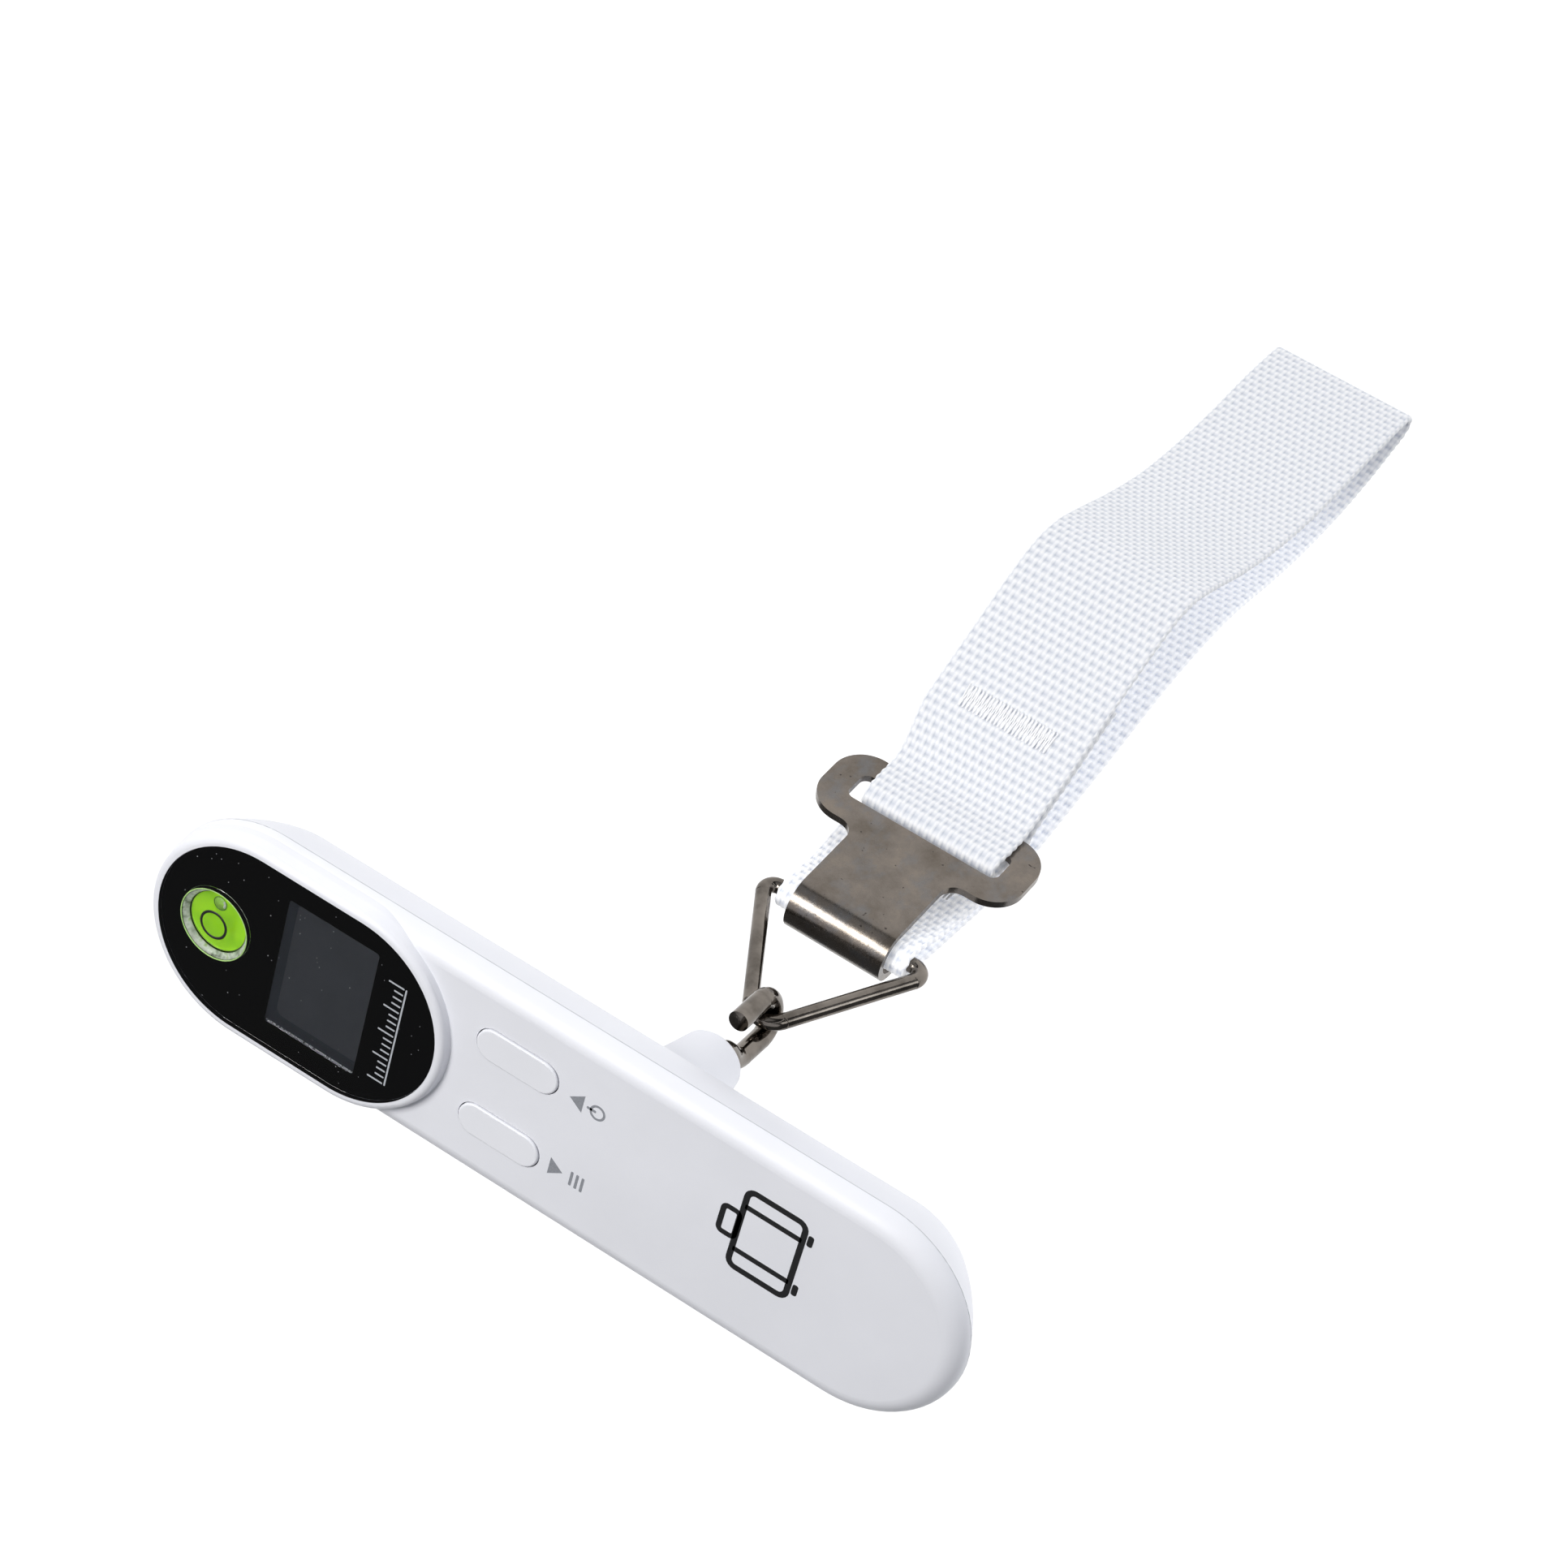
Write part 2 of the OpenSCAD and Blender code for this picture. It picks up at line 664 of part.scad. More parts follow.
module hook() {
    sway = 3.6;
    swing = acos(1 - hook_offset / (2 * sway));
    start = -26.0;
    bend_z = hook_low + hook_bend;
    straight = start - 2 * sway * sin(swing);
    color([0.35, 0.33, 0.32]) hook_place() {
        post([0, 0], hook_r, [start, 0.3]);
        wire_bend([-sway, start], sway, hook_r, -swing, swing);
        wire_bend([-sway + 2 * sway * cos(swing), straight], sway, hook_r, 180 - swing, swing);
        post([-hook_offset, 0], hook_r, [bend_z, straight + 0.04]);
        wire_bend([-hook_offset + hook_bend, bend_z], hook_bend, hook_r, 180, 180);
        post([-hook_offset + 2 * hook_bend, 0], hook_r, [bend_z, hook_tip]);
        wire_joint([0, start], hook_r);
        wire_joint([-sway + sway * cos(swing), start - sway * sin(swing)], hook_r);
        wire_joint([-hook_offset, straight], hook_r);
        wire_joint([-hook_offset, bend_z], hook_r);
        wire_joint([-hook_offset + 2 * hook_bend, bend_z], hook_r);
    }
}

module hook_washer() {
    color("silver") difference() {
        post([0, 0], 3.4, [beam_z[1] + 0.06, beam_z[1] + 0.6]);
        post([0, 0], hook_r, [-6, 1]);
    }
}

module hook_nut() {
    color("silver") difference() {
        translate([0, 0, beam_z[1] + 0.6]) cylinder(d = 6.35, h = 2.4, $fn = 6);
        post([0, 0], hook_r, [-6, 1]);
    }
}

module triangle_ring() {
    half_angle = atan(ring_half / ring_height);
    corner = ring_half - ring_corner_r / tan((90 - half_angle) / 2);
    top = ring_height - ring_top_r / sin(half_angle);
    normal = [cos(half_angle), sin(half_angle)];
    color([0.4, 0.38, 0.36]) translate([0, ring_bar[0], ring_bar[1]]) rotate([ring_lean, 0, 0]) {
        wire_run([-corner, 0], [corner, 0], ring_r);
        wire_bend([0, top], ring_top_r, ring_r, half_angle, 180 - 2 * half_angle);
        for (side = [0, 1]) mirror([side, 0, 0]) {
            wire_bend([corner, ring_corner_r], ring_corner_r, ring_r, -90, 90 + half_angle);
            leg = [[corner, ring_corner_r] + ring_corner_r * normal, [0, top] + ring_top_r * normal];
            wire_run(leg[0], leg[1], ring_r);
            for (at = concat(leg, [[corner, 0]])) wire_joint(at, ring_r);
        }
    }
}

module plate_place() {
    translate([0, ring_bar[0], ring_bar[1]]) rotate([plate_lean, 0, 0]) children();
}

// Outline of the plate, [x, distance from the ring bar], away from the ring
module plate_outline() {
    head_mid = (head_start + head_end) / 2;
    fillet = 2.6;
    difference() {
        union() {
            translate([-neck_width / 2, 0]) square([neck_width, head_mid]);
            translate([0, head_mid]) rounded_plan([head_width, head_end - head_start], 5.4);
            for (side = [0, 1]) mirror([side, 0]) translate([neck_width / 2, head_start]) difference() {
                translate([-0.1, -fillet]) square([fillet + 0.1, fillet + 0.5]);
                translate([fillet, -fillet]) circle(fillet);
            }
        }
        translate([0, (slot_start + slot_end) / 2])
            rounded_plan([slot_width, slot_end - slot_start], 1.3);
    }
}

module buckle_plate() {
    curl_outer = curl_inner + plate_thick;
    reach = curl_outer * 2;
    color([0.42, 0.39, 0.36]) plate_place() {
        translate([0, curl_inner, 0]) rotate([-90, 0, 0]) linear_extrude(plate_thick) plate_outline();
        rotate([90, 0, 90]) linear_extrude(neck_width, center = true) difference() {
            circle(curl_outer);
            circle(curl_inner);
            polygon([[0, 0], [reach * cos(curl_angle), reach * sin(curl_angle)],
                [0, -reach], [reach, -reach], [reach, 0]]);
        }
    }
}

// ---------------------------------------------------------------- webbing

module webbing_ring_wrap() {
    wrap = [for (i = [0 : 12]) ring_bar + wrap_mid_r * [cos(15 * i), sin(15 * i)]];
    color("white") webbing(concat([[4.1, -66.5], [4.4, -64.7], [4.6, -63], [4.7, -61.4]], wrap,
        [[0.95, -61.4], [1.15, -63.2], [1.49, -65.9]]), web_gathered, 1);
}

module webbing_lower() {
    color("white") webbing(lower_route, web_width, 3);
}

module webbing_upper() {
    color("white") webbing(upper_route, web_width, 3);
}

module webbing_return() {
    color("white") {
        webbing(return_route, web_width, 3);
        webbing(tab_route, web_width, 3);
    }
}

// Loop of webbing through the slot and round the far bar of the plate
module webbing_buckle_wrap() {
    over = curl_inner + plate_thick + web_thick / 2 + 0.15;
    under = curl_inner - web_thick / 2 - 0.15;
    mid = (over + under) / 2;
    turn = (over - under) / 2;
    nose = -slot_start - 2.9;
    arc = [for (i = [0 : 8]) [mid + turn * cos(22.5 * i), nose + turn * sin(22.5 * i)]];
    tail = -head_end + 0.4;
    route = concat([[over, tail], [over, nose - 1]], arc, [[under, nose - 1], [under, tail]]);
    color("white") plate_place() webbing(route, web_width, 1);
}

// Rows of short stitches on the outer face of a layer, between two points [y, z]
module stitch_rows(p, q, rows, per_row, span) {
    run = q - p;
    lean = atan2(run[0], -run[1]);
    for (row = [0 : rows - 1], k = [0 : per_row - 1]) {
        at = p + run * row / max(rows - 1, 1);
        translate([-span / 2 + span * k / (per_row - 1), at[0], at[1]]) rotate([lean, 0, 0])
            cube([1.5, 0.3, 0.5], center = true);
    }
}

module ring_stitching() {
    color("ivory") stitch_rows([5.35, -73.4], [5.95, -78.6], 3, 9, 18);
}

module buckle_stitching() {
    color("ivory") stitch_rows([20.7, -98.3], [22.5, -100.9], 2, 9, 17);
}

front_shell();
rear_shell();
display_glass();
display_mask();
lcd_panel();
lcd_backlight();
lcd_connector();
level_vial();
level_fluid();
level_bubble();
level_ring();
circuit_board();
controller_chip();
tact_switches();
load_cell();
strain_gauges();
load_cell_screws();
load_cell_wires();
shell_screws();
coin_cell();
battery_holder();
battery_contact_positive();
battery_contact_negative();
battery_wires();
battery_door();
hub_bush();
tare_button();
tare_plunger();
unit_button();
unit_plunger();
hook();
hook_nut();
hook_washer();
triangle_ring();
buckle_plate();
webbing_ring_wrap();
webbing_lower();
webbing_upper();
webbing_return();
webbing_buckle_wrap();
ring_stitching();
buckle_stitching();
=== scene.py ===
import math

import bpy
import numpy as np
from mathutils import Matrix, Vector


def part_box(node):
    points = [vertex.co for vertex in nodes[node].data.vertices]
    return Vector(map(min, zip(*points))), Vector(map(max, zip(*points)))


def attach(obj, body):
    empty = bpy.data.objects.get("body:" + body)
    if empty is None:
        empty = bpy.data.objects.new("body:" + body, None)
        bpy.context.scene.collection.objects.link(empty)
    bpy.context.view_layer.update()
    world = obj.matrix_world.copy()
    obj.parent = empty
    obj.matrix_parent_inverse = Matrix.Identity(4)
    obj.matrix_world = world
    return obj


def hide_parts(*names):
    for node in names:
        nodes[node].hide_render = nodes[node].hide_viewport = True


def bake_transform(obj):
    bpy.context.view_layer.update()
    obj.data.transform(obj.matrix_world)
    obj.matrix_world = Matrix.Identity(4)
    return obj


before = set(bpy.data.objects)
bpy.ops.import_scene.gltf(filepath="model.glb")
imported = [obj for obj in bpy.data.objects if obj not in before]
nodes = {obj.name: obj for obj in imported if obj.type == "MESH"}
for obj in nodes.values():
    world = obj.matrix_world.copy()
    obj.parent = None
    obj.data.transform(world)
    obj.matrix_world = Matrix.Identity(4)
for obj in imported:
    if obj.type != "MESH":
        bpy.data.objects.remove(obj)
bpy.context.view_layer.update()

MM = 0.001

# ---------------------------------------------------------------- sizes, in mm


def low_high(node):
    """Lowest and highest corner of a CAD node at rest, to a micrometre."""
    return [np.round(np.array(corner) / MM, 3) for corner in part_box(node)]


def middle_x(node):
    low, high = low_high(node)
    return (low[0] + high[0]) / 2


def capsule(node):
    """Radius of a capsule's ends, half the distance between their centres, and its middle X."""
    low, high = low_high(node)
    radius = (high[1] - low[1]) / 2
    return radius, (high[0] - low[0]) / 2 - radius, middle_x(node)


BAR_R, BAR_HALF, BAR_MID = capsule("front_shell")
GLASS_R, GLASS_HALF, GLASS_MID = capsule("display_glass")
FACE_Z = 3.0  # flat front of the bar
GLASS_Z = low_high("display_glass")[1][2]
LCD_TOP = low_high("lcd_panel")[1][2]
WINDOW_MID, WINDOW_X, WINDOW_Y = middle_x("lcd_panel"), 15.4, 22.4
LEVEL_X = middle_x("level_ring")
BUBBLE_X, BUBBLE_Y = LEVEL_X - 0.24, 3.1
BUBBLE_Z = low_high("level_fluid")[1][2] + 0.005
UPPER_MARKS_Y, LOWER_MARKS_Y = 6.5, -6.7  # rows of signs beside the buttons
PRINT_THICK, PRINT_SUNK = 0.03, 0.004
DUST_EDGE, DUST_OFF_LEVEL = GLASS_R - 1.0, 6.2  # dust keeps inside the edge and off the level

RIB = 1.55  # distance between ribs of the webbing
RIB_STEPS = 4  # cross rows to each rib
ROW = RIB / RIB_STEPS
YARNS = 34  # lengthwise yarns side by side across the webbing
YARN_STEPS = 3  # points to each yarn
WEB_WIDTH, WEB_THICK = 2 * low_high("webbing_upper")[1][0], 1.24
WEB_GATHERED = 2 * low_high("webbing_ring_wrap")[1][0]  # narrow at the ring, full below it
GATHER_FROM, GATHER_RUN = -61.0, 22.0
SELVEDGE_R, SELVEDGE_FLAT, SCALLOP = 0.42, 0.08, 0.10  # the woven edge
WEAVE_DEPTH = 0.30

RING_BAR = np.array([2.8, -60.0])  # middle of the ring's lower side, as [y, z]
WRAP_R = 1.93  # from there to the webbing's centre line
PLATE_LEAN = math.radians(8)
PLATE_OVER, PLATE_UNDER = 5.1, 2.3  # the two layers of webbing, outside and inside the plate
SLOT_END = 21.3  # from the ring's side to the far end of the slot

# Centre line of the webbing as [y, z], from the end stitched by the ring round to the end
# stitched under the upper layer
TAB_ROUTE = [
    (5.1, -82), (4.4, -76), (4.0, -70), (4.07, -66.7), (4.4, -64.7), (4.6, -63), (4.7, -61.4),
]
LOWER_ROUTE = [
    (0.95, -61.4), (1.15, -63.2), (1.5, -66), (2.3, -73), (3.3, -81), (4.6, -89), (7.2, -98),
    (12.4, -112), (17.4, -125), (20.9, -138), (21.9, -148), (21.3, -160), (21.2, -172),
    (22.4, -184), (25.2, -195), (28.0, -203),
]
UPPER_ROUTE = [
    (29.1, -205.7), (30.6, -206.5), (32.0, -205.6), (32.3, -203), (31.6, -194), (29.9, -182),
    (28.9, -170), (29.3, -158), (31.2, -146), (33.8, -135), (35.2, -127.5), (34.4, -121),
    (31.0, -114.5), (26.2, -107.5), (20.9, -100), (16.2, -93.6), (13.2, -89.6),
]
RETURN_ROUTE = [(9.4, -89.2), (11.4, -90.8), (14.6, -94.4), (19.7, -100.9), (24.4, -107.6)]
SLOT_SHIFT, SLOT_SQUEEZE = 0.6, 1.8  # the webbing lies off centre and narrower in the slot
SLOT_FROM, SLOT_TO = -97.0, -88.0  # heights between which that sets in
UPPER_PAINTED_GLOW, PAINTED_GLOW_ROWS = 0.32, (12, 90)  # painted glow of the upper layer, and where it fades in

THREAD_R = 0.13
TACK_LENGTH = 4.2

random = np.random.default_rng(7)


# ---------------------------------------------------------------- material helpers


class Nodes:
    """A material with one Principled shader and short calls for the nodes that drive it."""

    def __init__(self, name, **sockets):
        self.material = bpy.data.materials.new(name)
        self.material.use_nodes = True
        self.tree = self.material.node_tree
        self.shader = self.tree.nodes["Principled BSDF"]
        for key, value in sockets.items():
            self.shader.inputs[key.replace("_", " ")].default_value = value
        self.place = self.add("ShaderNodeTexCoord").outputs["Object"]

    def add(self, kind, **settings):
        node = self.tree.nodes.new(kind)
        for key, value in settings.items():
            setattr(node, key, value)
        return node

    def link(self, output, target):
        self.tree.links.new(output, target)

    def noise(self, scale, detail=2.0, rough=0.5, stretch=None, where=None):
        node = self.add("ShaderNodeTexNoise")
        node.inputs["Scale"].default_value = scale
        node.inputs["Detail"].default_value = detail
        node.inputs["Roughness"].default_value = rough
        where = where or self.place
        if stretch:
            mapping = self.add("ShaderNodeMapping")
            mapping.inputs["Scale"].default_value = stretch
            self.link(where, mapping.inputs["Vector"])
            where = mapping.outputs["Vector"]
        self.link(where, node.inputs["Vector"])
        return node.outputs["Fac"]

    def ramp(self, value, stops):
        node = self.add("ShaderNodeValToRGB")
        bands = node.color_ramp.elements
        while len(bands) < len(stops):
            bands.new(0.5)
        for band, (place, colour) in zip(bands, stops):
            band.position = place
            band.color = (*colour, 1) if len(colour) == 3 else colour
        self.link(value, node.inputs["Fac"])
        return node.outputs["Color"]

    def remap(self, value, low, high, to_low, to_high):
        node = self.add("ShaderNodeMapRange")
        for key, number in zip(
            ("From Min", "From Max", "To Min", "To Max"), (low, high, to_low, to_high)
        ):
            node.inputs[key].default_value = number
        self.link(value, node.inputs["Value"])
        return node.outputs["Result"]

    def mix(self, share, a, b):
        node = self.add("ShaderNodeMix", data_type="RGBA")
        self.link(share, node.inputs["Factor"])
        for key, colour in (("A", a), ("B", b)):
            socket = [s for s in node.inputs if s.name == key and s.type == "RGBA"][0]
            if isinstance(colour, tuple):
                socket.default_value = (*colour, 1)
            else:
                self.link(colour, socket)
        return [s for s in node.outputs if s.type == "RGBA"][0]

    def bump(self, height, strength, distance, after=None):
        node = self.add("ShaderNodeBump")
        node.inputs["Strength"].default_value = strength
        node.inputs["Distance"].default_value = distance
        self.link(height, node.inputs["Height"])
        if after:
            self.link(after, node.inputs["Normal"])
        return node.outputs["Normal"]

    def drive(self, **outputs):
        for key, output in outputs.items():
            self.link(output, self.shader.inputs[key.replace("_", " ")])
        return self.material


# ---------------------------------------------------------------- materials


def shell_plastic(name, colour, rough=0.42):
    m = Nodes(name, Roughness=rough, Specular_IOR_Level=0.45)
    tint = m.noise(55, 3)
    darker = tuple(0.965 * c for c in colour)
    tinted = m.mix(m.remap(tint, 0.35, 0.65, 0, 1), colour, darker)
    grain = m.noise(5200, 2, 0.6)
    flow = m.noise(160, 2)
    normal = m.bump(flow, 0.10, 0.0004, m.bump(grain, 0.16, 0.00006))
    return m.drive(
        Base_Color=tinted,
        Normal=normal,
        Roughness=m.remap(grain, 0.3, 0.7, rough - 0.05, rough + 0.07),
    )


def ink_and_painted_glint(name, colour, rough=0.5):
    m = Nodes(name, Roughness=rough)
    speckle = m.noise(9000, 1)
    paler = tuple(min(1, 1.35 * c + 0.004) for c in colour)
    return m.drive(Base_Color=m.mix(m.remap(speckle, 0.4, 0.62, 0, 1), colour, paler))


def clear_glass(name, tint, rough, ior):
    m = Nodes(name, Base_Color=(*tint, 1), Roughness=rough, IOR=ior, Transmission_Weight=1.0)
    wave = m.noise(70, 1)
    return m.drive(Normal=m.bump(wave, 0.04, 0.0005))


def gloss_black(name):
    m = Nodes(name, Roughness=0.12, Specular_IOR_Level=0.5)
    film = m.noise(900, 2)
    return m.drive(
        Base_Color=m.mix(
            m.remap(film, 0.4, 0.7, 0, 1), (0.0045, 0.0045, 0.005), (0.007, 0.007, 0.0085)
        )
    )


def lcd_slate(name, low, high):
    m = Nodes(name, Roughness=0.32)
    haze = m.noise(120, 3)
    fine = m.noise(5000, 1)
    colour = m.mix(m.remap(haze, 0.3, 0.7, 0, 1), low, high)
    return m.drive(Base_Color=colour, Normal=m.bump(fine, 0.05, 0.00003))


def dark_nickel(name, low, high, rough):
    """Plated wire: drawn lengthwise lines, faint brown and blue clouds, and tiny pits."""
    m = Nodes(name, Metallic=1.0)
    clouds = m.noise(210, 4, 0.6)
    drawn = m.noise(1500, 3, 0.6, (1, 1, 0.12))
    pits = m.noise(4200, 1)
    colour = m.ramp(clouds, [(0.30, low), (0.55, high), (0.72, tuple(1.18 * c for c in high))])
    normal = m.bump(pits, 0.07, 0.00004, m.bump(drawn, 0.22, 0.00005))
    return m.drive(
        Base_Color=colour,
        Normal=normal,
        Roughness=m.remap(drawn, 0.3, 0.7, rough - 0.05, rough + 0.09),
    )


def gunmetal(name):
    """Satin plated sheet: mottled brown and blue-grey patches, fine scratches, and specks."""
    m = Nodes(name, Metallic=1.0)
    patches = m.noise(130, 6, 0.68)
    cool = m.noise(260, 4, 0.62, (1.0, 1.0, 0.7))
    grain = m.noise(2600, 3, 0.7)
    scratches = m.noise(700, 3, 0.6, (1, 0.14, 0.14))
    warm = m.ramp(
        patches,
        [
            (0.30, (0.122, 0.103, 0.084)),
            (0.52, (0.176, 0.154, 0.134)),
            (0.75, (0.238, 0.202, 0.166)),
        ],
    )
    mixed = m.mix(m.remap(cool, 0.50, 0.70, 0, 0.6), warm, (0.158, 0.166, 0.178))
    specks = m.remap(m.noise(1500, 0), 0.80, 0.82, 0, 1)
    colour = m.mix(specks, mixed, (0.07, 0.06, 0.055))
    normal = m.bump(grain, 0.16, 0.00005, m.bump(scratches, 0.10, 0.00006))
    return m.drive(
        Base_Color=colour,
        Normal=normal,
        Roughness=m.remap(grain, 0.3, 0.7, 0.17, 0.30),
    )


def plain_metal(name, colour, rough):
    m = Nodes(name, Metallic=1.0)
    lines = m.noise(1800, 3, 0.6, (1, 0.2, 1))
    stain = m.noise(240, 2)
    return m.drive(
        Base_Color=m.mix(m.remap(stain, 0.35, 0.7, 0, 1), colour, tuple(0.85 * c for c in colour)),
        Normal=m.bump(lines, 0.12, 0.00005),
        Roughness=m.remap(lines, 0.3, 0.7, rough - 0.05, rough + 0.1),
    )


def plain_moulded(name, colour, rough):
    m = Nodes(name)
    mottle = m.noise(420, 3)
    grain = m.noise(4000, 2)
    paler = tuple(min(1, 1.25 * c + 0.004) for c in colour)
    return m.drive(
        Base_Color=m.mix(m.remap(mottle, 0.35, 0.7, 0, 1), colour, paler),
        Normal=m.bump(grain, 0.12, 0.00006),
        Roughness=m.remap(grain, 0.3, 0.7, rough - 0.06, rough + 0.08),
    )


def board_material(name):
    m = Nodes(name, Coat_Weight=0.35, Coat_Roughness=0.2)
    tracks = m.add("ShaderNodeTexBrick")
    for key, value in (("Scale", 420.0), ("Mortar Size", 0.012), ("Brick Width", 0.9)):
        tracks.inputs[key].default_value = value
    tracks.inputs["Color1"].default_value = (0.015, 0.16, 0.06, 1)
    tracks.inputs["Color2"].default_value = (0.012, 0.14, 0.052, 1)
    tracks.inputs["Mortar"].default_value = (0.03, 0.26, 0.10, 1)
    m.link(m.place, tracks.inputs["Vector"])
    return m.drive(
        Base_Color=tracks.outputs["Color"], Roughness=m.remap(m.noise(900), 0.3, 0.7, 0.35, 0.5)
    )


def webbing_material(name):
    """White polypropylene yarn: fine fibres along each yarn, a soft sheen, painted blue-grey shade
    in the creases, and a painted glow that lightens the cloth, most where another layer shades it."""
    m = Nodes(
        name,
        Roughness=0.55,
        Specular_IOR_Level=0.35,
        Sheen_Weight=0.25,
        Sheen_Roughness=0.4,
        Emission_Strength=0.53,
    )
    uv = m.add("ShaderNodeTexCoord").outputs["UV"]
    fibres = m.noise(9.0, 2, 0.5, (1.0, 0.16, 1.0), uv)
    twist = m.noise(2.6, 2, 0.5, None, uv)
    depth = m.add("ShaderNodeAttribute", attribute_name="relief").outputs["Fac"]
    through = m.add("ShaderNodeAttribute", attribute_name="through").outputs["Fac"]
    crest = m.mix(
        m.remap(twist, 0.35, 0.7, 0, 1), (0.800, 0.803, 0.818), (0.770, 0.778, 0.798)
    )
    # Painted shade: the creases darken to blue-grey by their relief.
    colour = m.mix(m.remap(depth, 0.15, 0.92, 0.95, 0.0), crest, (0.46, 0.49, 0.56))
    # The emission colour carries the painted glow, scaled by the through attribute.
    return m.drive(
        Base_Color=colour,
        Emission_Color=m.mix(through, (0, 0, 0), colour),
        Normal=m.bump(fibres, 0.55, 0.00007),
        Roughness=m.remap(fibres, 0.3, 0.7, 0.46, 0.66),
    )


def thread_material(name):
    # The emission is a faint painted glow on the thread.
    m = Nodes(name, Roughness=0.5, Sheen_Weight=0.2, Sheen_Roughness=0.4, Emission_Strength=0.08)
    m.shader.inputs["Emission Color"].default_value = (0.93, 0.95, 1.0, 1)
    ply = m.noise(5200, 1, 0.5, (1, 0.35, 0.35))
    return m.drive(
        Base_Color=m.mix(m.remap(ply, 0.35, 0.65, 0, 1), (0.93, 0.93, 0.94), (0.86, 0.865, 0.88)),
        Normal=m.bump(ply, 0.5, 0.00008),
    )


def lime_fluid(name):
    # The emission is a painted glow in place of light passing through the liquid.
    m = Nodes(
        name, Roughness=0.18, Coat_Weight=0.4, Coat_Roughness=0.05, Emission_Strength=0.16
    )
    swirl = m.noise(330, 2)
    m.shader.inputs["Emission Color"].default_value = (0.40, 0.86, 0.01, 1)
    return m.drive(
        Base_Color=m.mix(
            m.remap(swirl, 0.3, 0.7, 0, 1), (0.36, 0.78, 0.012), (0.47, 0.88, 0.02)
        )
    )


# ---------------------------------------------------------------- mesh helpers


def mesh_piece(name, points, faces, body, material, smooth=True):
    mesh = bpy.data.meshes.new(name)
    mesh.from_pydata([tuple(p) for p in np.asarray(points, float) * MM], [], faces)
    mesh.validate()
    for polygon in mesh.polygons:
        polygon.use_smooth = smooth
    piece = bpy.data.objects.new(name, mesh)
    bpy.context.scene.collection.objects.link(piece)
    mesh.materials.append(material)
    if body:
        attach(piece, body)
    return piece


def join_parts(parts):
    """Points and faces of several parts as one."""
    points, faces = [], []
    for part_points, part_faces in parts:
        start = len(points)
        points += [tuple(p) for p in part_points]
        faces += [tuple(start + i for i in face) for face in part_faces]
    return points, faces


def prism(outline, low, high):
    """Closed solid over a plan outline [(x, y)], between two heights."""
    n = len(outline)
    points = [(x, y, low) for x, y in outline] + [(x, y, high) for x, y in outline]
    faces = [tuple(reversed(range(n))), tuple(range(n, 2 * n))]
    faces += [(i, (i + 1) % n, n + (i + 1) % n, n + i) for i in range(n)]
    return points, faces


def band(outer, inner, low, high):
    """Closed frame between two outlines with the same number of points."""
    n = len(outer)
    points = [(x, y, z) for z in (low, high) for loop in (outer, inner) for x, y in loop]
    faces = []
    for i in range(n):
        j = (i + 1) % n
        o0, i0, o1, i1 = i, n + i, 2 * n + i, 3 * n + i
        p0, q0, p1, q1 = j, n + j, 2 * n + j, 3 * n + j
        faces += [(o0, i0, q0, p0), (o1, p1, q1, i1), (o0, p0, p1, o1), (i0, i1, q1, q0)]
    return points, faces


def circle_plan(x, y, r, steps=48):
    turns = np.linspace(0, 2 * math.pi, steps, endpoint=False)
    return [(x + r * math.cos(t), y + r * math.sin(t)) for t in turns]


def box_plan(x, y, wide, tall, r):
    """Rectangle with round corners, centred on (x, y)."""
    points = []
    for k, (sx, sy) in enumerate(((1, 1), (-1, 1), (-1, -1), (1, -1))):
        mid_x, mid_y = x + sx * (wide / 2 - r), y + sy * (tall / 2 - r)
        for t in np.linspace(k * math.pi / 2, (k + 1) * math.pi / 2, 6):
            points.append((mid_x + r * math.cos(t), mid_y + r * math.sin(t)))
    return points


def catmull(points, spacing):
    """Points at even spacing along a smooth curve through the given points."""
    p = np.asarray(points, float)
    p = np.vstack([2 * p[0] - p[1], p, 2 * p[-1] - p[-2]])
    t = np.linspace(0, 1, 24, endpoint=False)[:, None]
    fine = []
    for i in range(1, len(p) - 2):
        a, b, c, d = p[i - 1 : i + 3]
        square, cube = 2 * a - 5 * b + 4 * c - d, 3 * b - a - 3 * c + d
        fine.append(0.5 * (2 * b + (c - a) * t + square * t**2 + cube * t**3))
    fine = np.vstack([*fine, p[-2:-1]])
    run = np.r_[0, np.cumsum(np.linalg.norm(np.diff(fine, axis=0), axis=1))]
    at = np.arange(0, run[-1], spacing)
    return np.column_stack([np.interp(at, run, fine[:, k]) for k in range(fine.shape[1])])


# ---------------------------------------------------------------- webbing


def plate_point(away, distance):
    """[y, z] of a point this far off the leaning line of the plate, and this far down it."""
    c, s = math.cos(PLATE_LEAN), math.sin(PLATE_LEAN)
    return (
        RING_BAR[0] + away * c + distance * s,
        RING_BAR[1] + away * s - distance * c,
    )


def webbing_line():
    """Centre line of the whole webbing, at the spacing of its cross rows."""
    ring_turn = [
        tuple(RING_BAR + WRAP_R * np.array([math.cos(t), math.sin(t)]))
        for t in np.linspace(0, math.pi, 9)
    ]
    middle, turn = (PLATE_OVER + PLATE_UNDER) / 2, (PLATE_OVER - PLATE_UNDER) / 2
    slot_turn = [
        plate_point(middle + turn * math.cos(t), SLOT_END - turn * math.sin(t))
        for t in np.linspace(0, math.pi, 7)
    ]
    points = (
        TAB_ROUTE
        + ring_turn
        + LOWER_ROUTE
        + UPPER_ROUTE
        + [plate_point(PLATE_OVER, 27.6), plate_point(PLATE_OVER, 24.5)]
        + slot_turn
        + [plate_point(PLATE_UNDER, 24.5), plate_point(PLATE_UNDER, 27.4)]
        + RETURN_ROUTE
    )
    return catmull(points, ROW)


def smooth_step(value, low, high):
    t = np.clip((value - low) / (high - low), 0, 1)
    return t * t * (3 - 2 * t)


